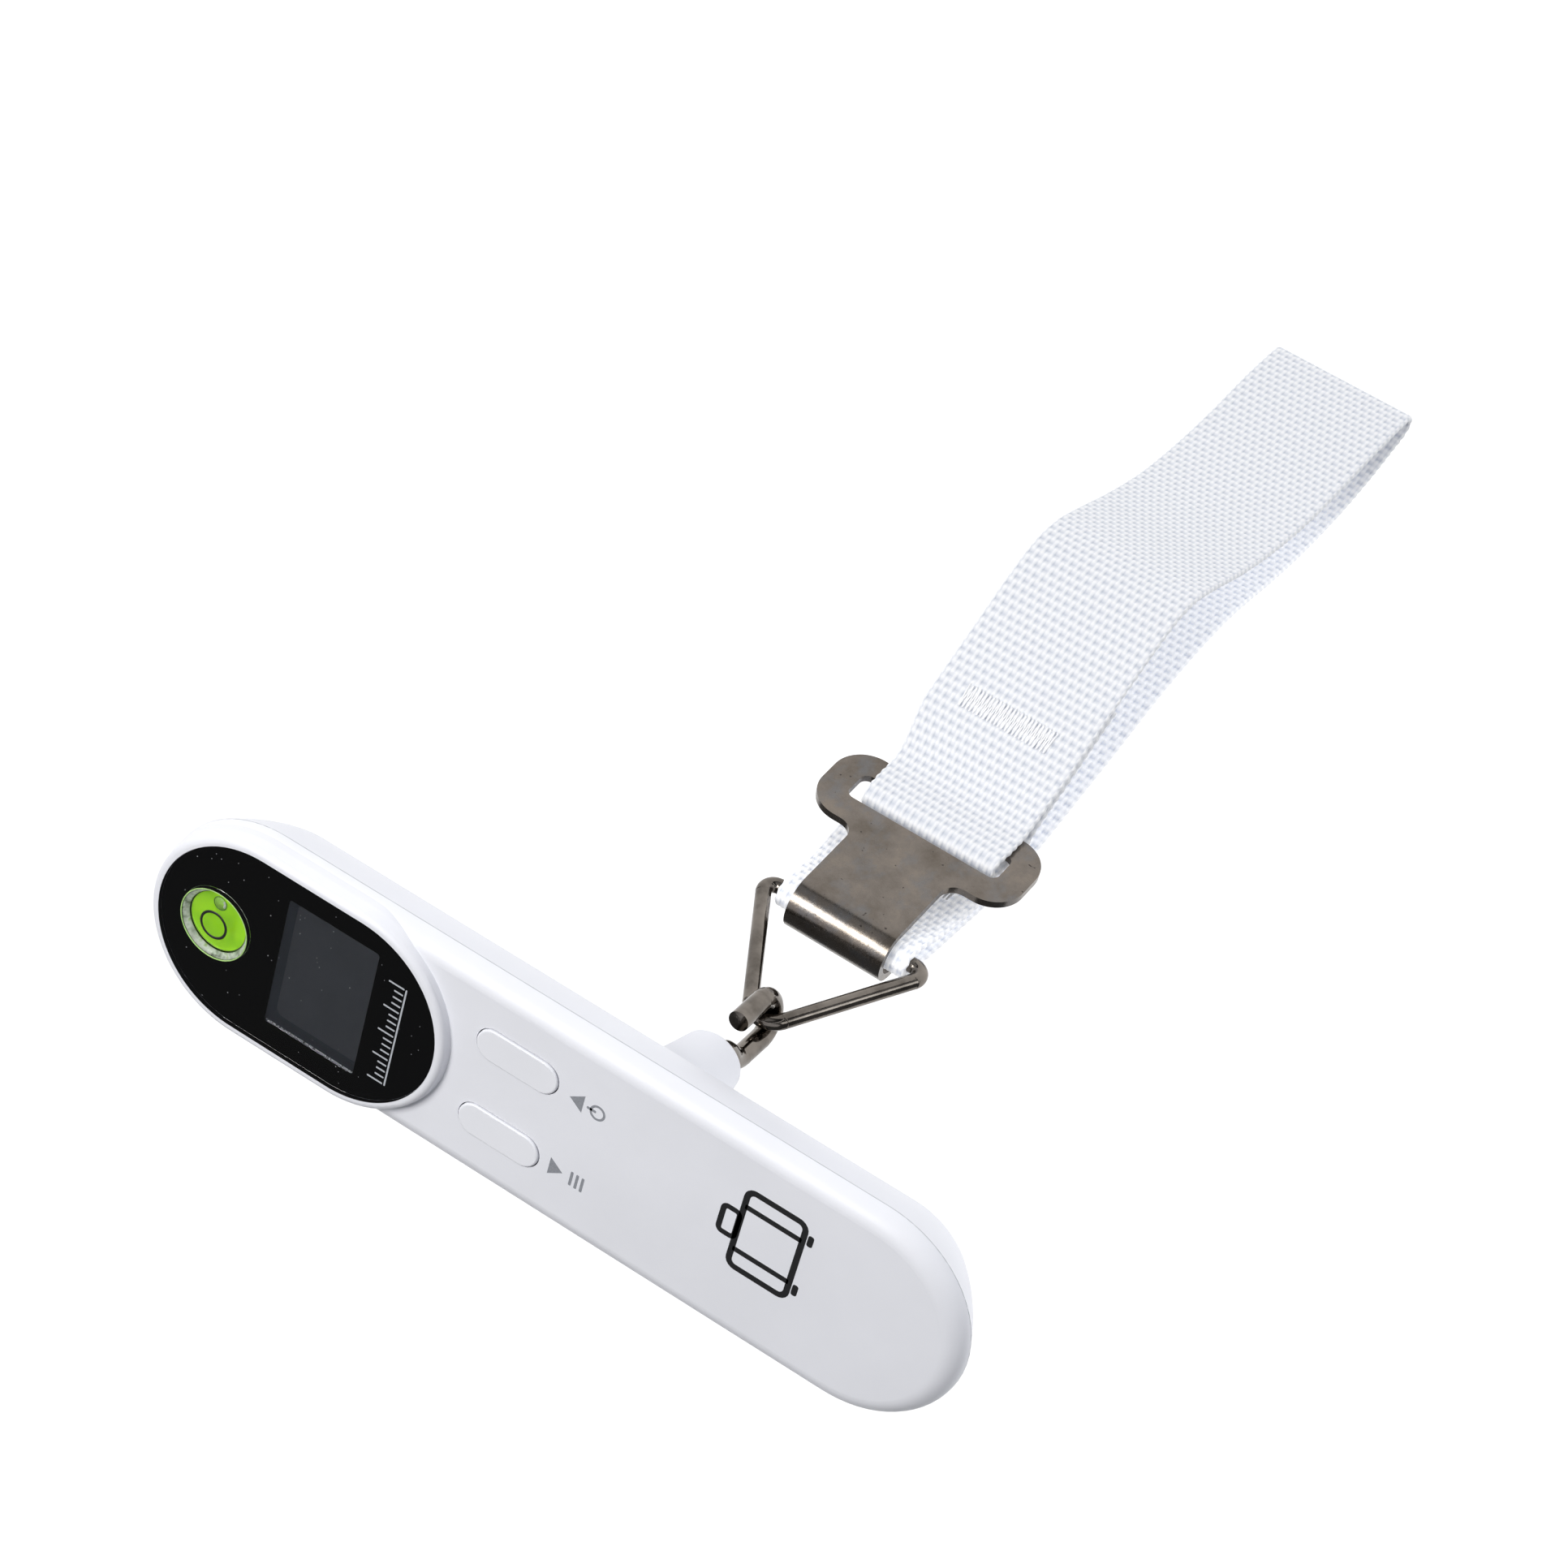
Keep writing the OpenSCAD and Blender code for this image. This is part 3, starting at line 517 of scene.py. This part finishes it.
def weave_relief(across, along, lift):
    """Height from 0 to 1 of the woven face. across counts yarns and along counts ribs.

    Every second crossing dips less, and lift says which of them do."""
    yarn = np.floor(across).astype(int)
    valley = np.round(along).astype(int)
    bead = np.sin(math.pi * np.clip(across - yarn, 0, 1)) ** 0.7
    dip = np.cos(math.pi * (along - valley)) ** 2
    floating = np.where((yarn + valley + lift) % 2 == 0, 0.42, 1.0)
    return 1 - 0.72 * dip * floating - 0.30 * (1 - bead)


def web_selvedge(side, angles, flat, along):
    """Rounded edge of one cross row, scalloped where the cross yarn turns back."""
    wave = math.cos(2 * math.pi * along)
    return [
        (
            side * flat + (SELVEDGE_R - SCALLOP * wave) * math.cos(math.radians(a)),
            (WEB_THICK / 2 - SELVEDGE_FLAT) * math.sin(math.radians(a)),
            0.75 - 0.25 * wave,
            YARNS if side > 0 else 0,
        )
        for a in angles
    ]


def web_section(width, along):
    """One cross row of the webbing: (x, offset from the centre line, relief, u)."""
    flat = width / 2 - SELVEDGE_R
    across = np.linspace(0.0, YARNS, YARNS * YARN_STEPS + 1)
    across[0], across[-1] = 0.02, YARNS - 0.02
    x = -flat + 2 * flat * across / YARNS
    top = weave_relief(across, np.full_like(across, along), 0)
    low = weave_relief(across, np.full_like(across, along + 0.5), 1)
    half = WEB_THICK / 2
    face = [(a, half - WEAVE_DEPTH * (1 - h), h, u) for a, h, u in zip(x, top, across)]
    back = [(a, -half + WEAVE_DEPTH * (1 - h), h, u) for a, h, u in zip(x, low, across)]
    right = web_selvedge(1, (70, 35, 0, -35, -70), flat, along)
    left = web_selvedge(-1, (-110, -145, 180, 145, 110), flat, along)
    return face + right + back[::-1] + left


def row_width(i, z):
    """Width of cross row i, gathered near the ring and never quite even."""
    along = i / RIB_STEPS
    spread = np.clip((GATHER_FROM - z) / GATHER_RUN, 0, 1)
    width = WEB_GATHERED + (WEB_WIDTH - WEB_GATHERED) * spread
    return width + 0.05 * math.sin(0.37 * along) + 0.04 * math.sin(0.9 + 0.11 * along)


def webbing_strip(name, line, first, last, fold):
    """Rows first to last of the webbing as one closed mesh. Past the fold is the upper layer."""
    tangent = np.gradient(line, axis=0)
    tangent /= np.linalg.norm(tangent, axis=1)[:, None]
    normal = np.column_stack([-tangent[:, 1], tangent[:, 0]])
    points, relief, through, uvs = [], [], [], []
    for i in range(first, last + 1):
        y, z = line[i]
        along = i / RIB_STEPS
        in_slot = smooth_step(z, SLOT_FROM, SLOT_TO) if i > fold else 0.0
        width = row_width(i, z) - SLOT_SQUEEZE * in_slot
        # Painted glow: full on the lower layer that the upper layer shades, a share of it on the
        # upper layer.
        painted_glow = UPPER_PAINTED_GLOW + (1 - UPPER_PAINTED_GLOW) * smooth_step(fold - i, *PAINTED_GLOW_ROWS)
        for x, off, h, u in web_section(width, along):
            x += SLOT_SHIFT * in_slot
            points.append((x, y + normal[i, 0] * off, z + normal[i, 1] * off))
            relief.append(h)
            through.append(painted_glow)
            uvs.append((u * WEB_WIDTH / YARNS, along * RIB))
    rows = last - first + 1
    count = len(points) // rows
    faces = [
        (a, b, b + count, a + count)
        for i in range(rows - 1)
        for k in range(count)
        for a, b in [(i * count + k, i * count + (k + 1) % count)]
    ]
    faces.append(tuple(reversed(range(count))))
    faces.append(tuple(range((rows - 1) * count, rows * count)))
    piece = mesh_piece(name, points, faces, None, web_white)
    mesh = piece.data
    # relief drives the painted shade in the creases; through holds each point's share of the
    # painted glow.
    mesh.attributes.new("relief", "FLOAT", "POINT").data.foreach_set("value", relief)
    mesh.attributes.new("through", "FLOAT", "POINT").data.foreach_set("value", through)
    layer = mesh.uv_layers.new(name="weave")
    corner = np.zeros(len(mesh.loops), int)
    mesh.loops.foreach_get("vertex_index", corner)
    layer.data.foreach_set("uv", np.asarray(uvs, np.float32)[corner].ravel())
    return piece


def thread(name, points, body):
    """Round thread through the points, as one closed mesh."""
    line = catmull(points, THREAD_R * 1.6)
    tangent = np.gradient(line, axis=0)
    tangent /= np.linalg.norm(tangent, axis=1)[:, None]
    up = np.cross(tangent, (0.13, 0.2, 0.97))
    up /= np.linalg.norm(up, axis=1)[:, None]
    side = np.cross(tangent, up)
    sides = 6
    turns = np.linspace(0, 2 * math.pi, sides, endpoint=False)
    rings = [line + THREAD_R * (math.cos(t) * up + math.sin(t) * side) for t in turns]
    verts = np.stack(rings, axis=1).reshape(-1, 3)
    last = len(line) - 1
    faces = [
        (a, b, b + sides, a + sides)
        for i in range(last)
        for k in range(sides)
        for a, b in [(i * sides + k, i * sides + (k + 1) % sides)]
    ]
    faces += [tuple(reversed(range(sides))), tuple(range(last * sides, (last + 1) * sides))]
    return mesh_piece(name, verts, faces, body, thread_white)


def bar_tack(name, line, centre, width, strokes, body):
    """Dense zig-zag stitching across the webbing, lying on its outer face."""
    near = int(np.argmin(np.linalg.norm(line - np.array(centre), axis=1)))
    reach = int(TACK_LENGTH / 2 / ROW)
    points = []
    for k in range(strokes * 2 + 1):
        i = near + (reach if k % 2 else -reach)
        tangent = line[i + 1] - line[i - 1]
        tangent /= np.linalg.norm(tangent)
        outward = np.array([tangent[1], -tangent[0]])
        x = -width / 2 + width * k / (2 * strokes)
        end = line[i] + outward * (WEB_THICK / 2 + 0.02)
        crest = line[near] + outward * (WEB_THICK / 2 + 0.07)
        if k:
            points.append((x - width / (4 * strokes), *crest))
        points.append((x, *end))
    return thread(name, points, body)


# ---------------------------------------------------------------- finishes of the CAD parts

shell = shell_plastic("shell_satin_white", (0.830, 0.838, 0.888))
button_white = shell_plastic("button_satin_white", (0.845, 0.853, 0.900), 0.40)
bush_grey = shell_plastic("bush_natural", (0.62, 0.63, 0.64), 0.5)
cover_glass = clear_glass("cover_glass", (0.97, 0.98, 1.0), 0.0, 1.45)
vial_clear = clear_glass("vial_clear", (0.96, 1.0, 0.95), 0.015, 1.46)
mask_black = gloss_black("mask_black")
lcd = lcd_slate("lcd_slate", (0.037, 0.040, 0.047), (0.046, 0.049, 0.057))
lcd_edge = lcd_slate("lcd_edge_navy", (0.011, 0.0145, 0.021), (0.015, 0.019, 0.027))
lcd_light = plain_metal("lcd_cut_edge", (0.75, 0.77, 0.80), 0.25)
lime = lime_fluid("lime_fluid")
nickel = dark_nickel("dark_nickel", (0.100, 0.088, 0.076), (0.190, 0.169, 0.148), 0.08)
# Much brighter metal for a painted highlight along the buckle plate's rounded edges.
edge_highlight_metal = dark_nickel("painted_edge_highlight", (0.66, 0.63, 0.60), (0.80, 0.77, 0.74), 0.10)
steel = plain_metal("bright_steel", (0.62, 0.62, 0.63), 0.28)
aluminium = plain_metal("machined_aluminium", (0.76, 0.77, 0.78), 0.32)
gold = plain_metal("gold_plated_strip", (0.80, 0.60, 0.26), 0.25)
black = plain_moulded("moulded_black", (0.018, 0.018, 0.02), 0.45)
grey_rubber = plain_moulded("grey_rubber", (0.22, 0.22, 0.23), 0.65)
white_film = plain_moulded("white_film", (0.78, 0.79, 0.80), 0.4)
amber = plain_moulded("amber_film", (0.52, 0.27, 0.05), 0.3)
wire_red = plain_moulded("wire_sleeve", (0.50, 0.03, 0.02), 0.4)
thread_white = thread_material("thread_white")
web_white = webbing_material("webbing_white")

FINISHES = {
    shell: ["front_shell", "rear_shell", "battery_door"],
    button_white: ["tare_button", "unit_button"],
    bush_grey: ["hub_bush"],
    cover_glass: ["display_glass"],
    mask_black: ["display_mask", "level_ring"],
    lcd: ["lcd_panel"],
    white_film: ["lcd_backlight", "tare_plunger", "unit_plunger"],
    grey_rubber: ["lcd_connector"],
    vial_clear: ["level_vial"],
    board_material("board_green"): ["circuit_board"],
    black: ["controller_chip", "tact_switches", "battery_holder"],
    aluminium: ["load_cell"],
    amber: ["strain_gauges"],
    steel: ["load_cell_screws", "shell_screws", "coin_cell", "hook_nut", "hook_washer"],
    gold: ["battery_contact_positive", "battery_contact_negative"],
    wire_red: ["load_cell_wires", "battery_wires"],
    nickel: ["hook", "triangle_ring"],
    gunmetal("gunmetal_satin"): ["buckle_plate"],
    lime: ["level_fluid", "level_bubble"],
}


def round_edges(node, width, finish):
    """Small round edges with a finish of their own on a CAD part, whose mesh stays unchanged."""
    part = nodes[node]
    bevel = part.modifiers.new("edge", "BEVEL")
    bevel.width = width * MM
    bevel.segments = 3
    bevel.limit_method = "ANGLE"
    bevel.angle_limit = math.radians(50)
    bevel.harden_normals = False
    part.data.materials.append(finish)
    bevel.material = len(part.data.materials) - 1


for finish, names in FINISHES.items():
    for name in names:
        materials = nodes[name].data.materials
        materials.clear()
        materials.append(finish)

# The rounded edges of the buckle plate get the brighter metal: a painted highlight along them.
round_edges("buckle_plate", 0.26, edge_highlight_metal)


# ---------------------------------------------------------------- display and level

ink_black = ink_and_painted_glint("ink_black", (0.012, 0.012, 0.013), 0.35)
ink_grey = ink_and_painted_glint("ink_grey", (0.235, 0.245, 0.27))
ink_pale = ink_and_painted_glint("ink_pale", (0.40, 0.42, 0.45))


def display_trim():
    """Stepped border inside the window and its bright cut edge."""
    low = LCD_TOP + 0.004
    high = low + 0.03
    outer = box_plan(WINDOW_MID, 0, WINDOW_X + 1.6, WINDOW_Y + 1.6, 0.5)
    inner = box_plan(WINDOW_MID + 0.95, 1.2, WINDOW_X - 1.1, WINDOW_Y - 1.8, 1.2)
    mesh_piece("lcd_border", *band(outer, inner, low, high), "housing", lcd_edge, False)
    edge = box_plan(WINDOW_MID, -WINDOW_Y / 2 + 0.16, WINDOW_X - 0.3, 0.26, 0.08)
    cut = prism(edge, high + 0.001, high + 0.015)
    mesh_piece("window_cut_edge", *cut, "housing", lcd_light, False)


def vial_wall_painted_reflections(name):
    """Pale moulded wall seen through the vial, with painted reflections in dark, grey, white and
    faint green streaks round the liquid, and a painted glow.
    """
    m = Nodes(name, Roughness=0.25, Emission_Strength=0.10)
    m.shader.inputs["Emission Color"].default_value = (0.9, 1.0, 0.85, 1)
    painted_reflection_streaks = m.noise(620, 2, 0.6, (1.0, 1.0, 0.3))
    return m.drive(
        Base_Color=m.ramp(
            painted_reflection_streaks,
            [
                (0.34, (0.16, 0.20, 0.12)),
                (0.45, (0.62, 0.66, 0.58)),
                (0.56, (0.90, 0.92, 0.88)),
                (0.68, (0.45, 0.62, 0.22)),
            ],
        )
    )


def revolved(profile, x, y):
    """Closed ring turned from a loop of (radius, height) about an upright axis at (x, y)."""
    n, steps = len(profile), 64
    turns = np.linspace(0, 2 * math.pi, steps, endpoint=False)
    points = [(x + r * math.cos(t), y + r * math.sin(t), z) for t in turns for r, z in profile]
    faces = []
    for i in range(steps):
        here, there = i * n, (i + 1) % steps * n
        for k in range(n):
            after = (k + 1) % n
            faces.append((here + k, here + after, there + after, there + k))
    return points, faces


def flat_ring(inner, outer, low, high, x, y):
    return revolved([(inner, low), (outer, low), (outer, high), (inner, high)], x, y)


def level_parts():
    """Wall round the liquid with painted reflections and glow, bright rim of the vial,
    printed ring, and the bubble with a painted glint.
    """
    wall = revolved([(5.55, 4.3), (5.5, 4.5), (4.85, 3.0), (4.9, 2.8)], LEVEL_X, 0)
    mesh_piece("vial_inner_wall", *wall, "housing", vial_wall_painted_reflections("vial_wall_painted_reflections"))
    rim = revolved([(5.72, 4.55), (5.72, 4.72), (5.58, 4.74), (5.58, 4.55)], LEVEL_X, 0)
    mesh_piece("vial_rim", *rim, "housing", ink_and_painted_glint("vial_rim_green", (0.42, 0.66, 0.22)))
    edge = flat_ring(1.02, 1.14, BUBBLE_Z, BUBBLE_Z + 0.02, BUBBLE_X, BUBBLE_Y)
    mesh_piece("bubble_outline", *edge, "housing", ink_and_painted_glint("bubble_edge", (0.06, 0.22, 0.015)))
    inside = prism(circle_plan(BUBBLE_X, BUBBLE_Y, 1.01), BUBBLE_Z, BUBBLE_Z + 0.012)
    light = ink_and_painted_glint("bubble_light", (0.44, 0.76, 0.13), 0.1)
    mesh_piece("bubble_inside", *inside, "housing", light)
    ring = flat_ring(1.90, 2.31, GLASS_Z - 0.018, GLASS_Z - 0.005, LEVEL_X, 0)
    mesh_piece("level_ring_print", *ring, "housing", ink_and_painted_glint("level_ink", (0.008, 0.008, 0.01)))
    # Pale crescent on the bubble: a painted highlight.
    crescent = [
        (BUBBLE_X + r * math.cos(t), BUBBLE_Y + r * math.sin(t))
        for r, way in ((0.92, 1), (0.58, -1))
        for t in np.linspace(-0.6, 0.9, 9)[::way]
    ]
    painted_glint = prism(crescent, BUBBLE_Z + 0.013, BUBBLE_Z + 0.02)
    mesh_piece("bubble_painted_glint", *painted_glint, "housing", ink_and_painted_glint("painted_glint", (0.9, 0.86, 0.84)))


level_parts()
display_trim()


# ---------------------------------------------------------------- printed marks


def turned(outline, x, y):
    """Marks are drawn upright as (right, up); on the bar, up is -X and right is +Y."""
    return [(x - up, y + right) for right, up in outline]


def mark(name, parts, x, y, base, material):
    """A printed mark made of outlines: one outline is filled, a pair is a frame."""
    low, high = base - PRINT_SUNK, base + PRINT_THICK
    solids = []
    for part in parts:
        if isinstance(part[0][0], tuple):
            solids.append(band(*(turned(outline, x, y) for outline in part), low, high))
        else:
            solids.append(prism(turned(part, x, y), low, high))
    mesh_piece(name, *join_parts(solids), "housing", material, False)


def frame_pair(x, y, wide, tall, r, stroke):
    return (
        box_plan(x, y, wide, tall, r),
        box_plan(x, y, wide - 2 * stroke, tall - 2 * stroke, max(r - stroke, 0.05)),
    )


def suitcase_mark():
    body = frame_pair(0, 0, 14.6, 10.2, 1.7, 0.95)
    handle = frame_pair(0, 6.1, 5.4, 3.4, 1.1, 0.85)
    straps = [box_plan(side * 3.9, 0, 0.85, 9.0, 0.2) for side in (-1, 1)]
    feet = [box_plan(side * 4.6, -5.7, 1.9, 0.9, 0.35) for side in (-1, 1)]
    mark("suitcase_mark", [body, handle, *straps, *feet], 26.0, 2.4, FACE_Z, ink_black)


def button_marks():
    up = [(-1.5, -1.05), (1.5, -1.05), (0, 1.15)]
    down = [(1.5, 1.05), (-1.5, 1.05), (0, -1.15)]
    mark("tare_arrow", [up], -6.0, UPPER_MARKS_Y, FACE_Z, ink_grey)
    mark("unit_arrow", [down], -6.4, LOWER_MARKS_Y, FACE_Z, ink_grey)
    circle = circle_plan(0, 0, 1.25, 40), circle_plan(0, 0, 0.9, 40)
    stem = box_plan(0, 1.0, 0.42, 1.5, 0.15)
    mark("power_mark", [circle, stem], -2.6, UPPER_MARKS_Y, FACE_Z, ink_grey)
    menu = [box_plan(0, y, 2.5, 0.42, 0.15) for y in (-0.9, 0, 0.9)]
    mark("menu_mark", menu, -2.9, LOWER_MARKS_Y, FACE_Z, ink_grey)


def glass_marks():
    """Row of plain scale ticks printed beside the window."""
    count, pitch, stroke = 17, 1.1, 0.26
    ticks = []
    for k in range(count):
        tall = 2.6 if k % 4 == 0 else 1.5
        ticks.append(box_plan(-8.8 + pitch * k, tall / 2, stroke, tall, 0.08))
    ticks.append(box_plan(0, -0.35, 17.9, stroke, 0.1))
    mark("scale_ticks", ticks, -34.1, 0.0, GLASS_Z, ink_pale)


def parting_line():
    """Fine dark joint between the front and rear shells, all round the bar."""
    loops = []
    for r in (BAR_R + 0.015, BAR_R - 0.15):
        turns = np.linspace(-math.pi / 2, math.pi / 2, 33)
        tail = [(BAR_MID + BAR_HALF + r * math.cos(t), r * math.sin(t)) for t in turns]
        head = [(BAR_MID - BAR_HALF - r * math.cos(t), -r * math.sin(t)) for t in turns]
        loops.append(tail + head)
    grey = plain_moulded("parting_shadow", (0.42, 0.43, 0.46), 0.6)
    mesh_piece("parting_line", *band(*loops, -0.06, 0.05), "housing", grey, False)


def glass_dust():
    """A few specks of lint lying on the glass."""
    specks = []
    for _ in range(70):
        x, y = random.uniform(-76, -29), random.uniform(-14, 14)
        over = max(abs(x - GLASS_MID) - GLASS_HALF, 0)
        if math.hypot(over, y) < DUST_EDGE and math.hypot(x - LEVEL_X, y) > DUST_OFF_LEVEL:
            speck = circle_plan(x, y, random.uniform(0.03, 0.075), 6)
            specks.append(prism(speck, GLASS_Z, GLASS_Z + 0.012))
    lint = ink_and_painted_glint("lint", (0.42, 0.43, 0.46), 0.8)
    mesh_piece("glass_dust", *join_parts(specks), "housing", lint, False)


suitcase_mark()
button_marks()
glass_marks()
parting_line()
glass_dust()


# ---------------------------------------------------------------- webbing pieces

line = webbing_line()
fold = int(np.argmin(line[:, 1]))
seam = len(line) // 2
lower = webbing_strip("webbing_lower_run", line, 0, seam, fold)
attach(lower, "strap")
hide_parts("webbing_ring_wrap", "webbing_lower")
upper = webbing_strip("webbing_upper_run", line, seam, len(line) - 1, fold)
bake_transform(upper)
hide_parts("webbing_upper", "webbing_return", "webbing_buckle_wrap")

tack = bar_tack("buckle_bar_tack", line, (19.9, -98.7), 15.5, 25, None)
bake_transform(tack)
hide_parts("buckle_stitching")
ring_tack = bar_tack("ring_bar_tack", line, (4.4, -76.0), 17.0, 30, "strap")
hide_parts("ring_stitching")


# ---------------------------------------------------------------- stage, light and camera


def stage_floor():
    mesh = bpy.data.meshes.new("floor")
    size, low = 6.0, -0.75
    mesh.from_pydata(
        [(-size, -size, low), (size, -size, low), (size, size, low), (-size, size, low)],
        [],
        [(0, 1, 2, 3)],
    )
    floor = bpy.data.objects.new("floor", mesh)
    bpy.context.scene.collection.objects.link(floor)
    m = Nodes("floor_pale", Base_Color=(0.93, 0.93, 0.935, 1), Emission_Strength=0.80)
    m.shader.inputs["Emission Color"].default_value = (1, 1, 1, 1)
    mesh.materials.append(m.drive(Roughness=m.remap(m.noise(2), 0.3, 0.7, 0.75, 0.85)))


def soft_light(name, direction, distance, size, power, colour):
    target = Vector((-0.01, 0.012, -0.09))
    lamp = bpy.data.lights.new(name, "AREA")
    lamp.shape, lamp.size, lamp.energy, lamp.color = "SQUARE", size, power, colour
    light = bpy.data.objects.new(name, lamp)
    away = Vector(direction).normalized()
    light.location = target + away * distance
    light.rotation_euler = away.to_track_quat("Z", "Y").to_euler()
    bpy.context.scene.collection.objects.link(light)


def camera():
    right = Vector((0.8242215, 0.22500364, -0.5196463))
    up = Vector((-0.48274223, 0.75888651, -0.43709404))
    back = Vector((0.29600482, 0.61111752, 0.73410934))
    data = bpy.data.cameras.new("camera")
    data.lens, data.sensor_width = 106.297, 36
    data.clip_start, data.clip_end = 0.01, 50
    cam = bpy.data.objects.new("camera", data)
    turn = Matrix((right, up, back)).transposed().to_4x4()
    cam.matrix_world = Matrix.Translation((0.17989, 0.42373, 0.42514)) @ turn
    bpy.context.scene.collection.objects.link(cam)
    bpy.context.scene.camera = cam


def studio_world():
    """Dim room round one large soft window high on the +Y side, with a darker frame to it."""
    world = bpy.data.worlds.new("studio")
    bpy.context.scene.world = world
    world.use_nodes = True
    tree = world.node_tree
    toward = tree.nodes.new("ShaderNodeVectorMath")
    toward.operation = "DOT_PRODUCT"
    toward.inputs[1].default_value = Vector((-0.22, 0.84, 0.50)).normalized()
    place = tree.nodes.new("ShaderNodeTexCoord").outputs["Generated"]
    tree.links.new(place, toward.inputs[0])
    shade = tree.nodes.new("ShaderNodeValToRGB")
    tree.links.new(toward.outputs["Value"], shade.inputs["Fac"])
    bands = shade.color_ramp.elements
    stops = [
        (0.00, 0.05), (0.30, 0.09), (0.50, 0.16), (0.60, 0.04), (0.66, 0.04), (0.68, 0.85),
        (0.70, 0.85), (0.72, 0.03), (0.86, 0.04), (0.90, 0.22),
    ]
    while len(bands) < len(stops):
        bands.new(0.5)
    for stop, (at, light) in zip(bands, stops):
        stop.position = at
        stop.color = (0.94 * light, 0.96 * light, light, 1)
    sky = tree.nodes["Background"]
    tree.links.new(shade.outputs["Color"], sky.inputs["Color"])
    sky.inputs["Strength"].default_value = 2.5


stage_floor()
soft_light("key", (-0.35, 0.45, 0.82), 0.9, 0.36, 5.7, (1.0, 0.99, 0.97))
soft_light("fill", (0.95, 0.50, 0.28), 1.0, 0.4, 1.15, (0.96, 0.98, 1.0))
camera()
studio_world()
bpy.context.scene.view_settings.view_transform = "Standard"
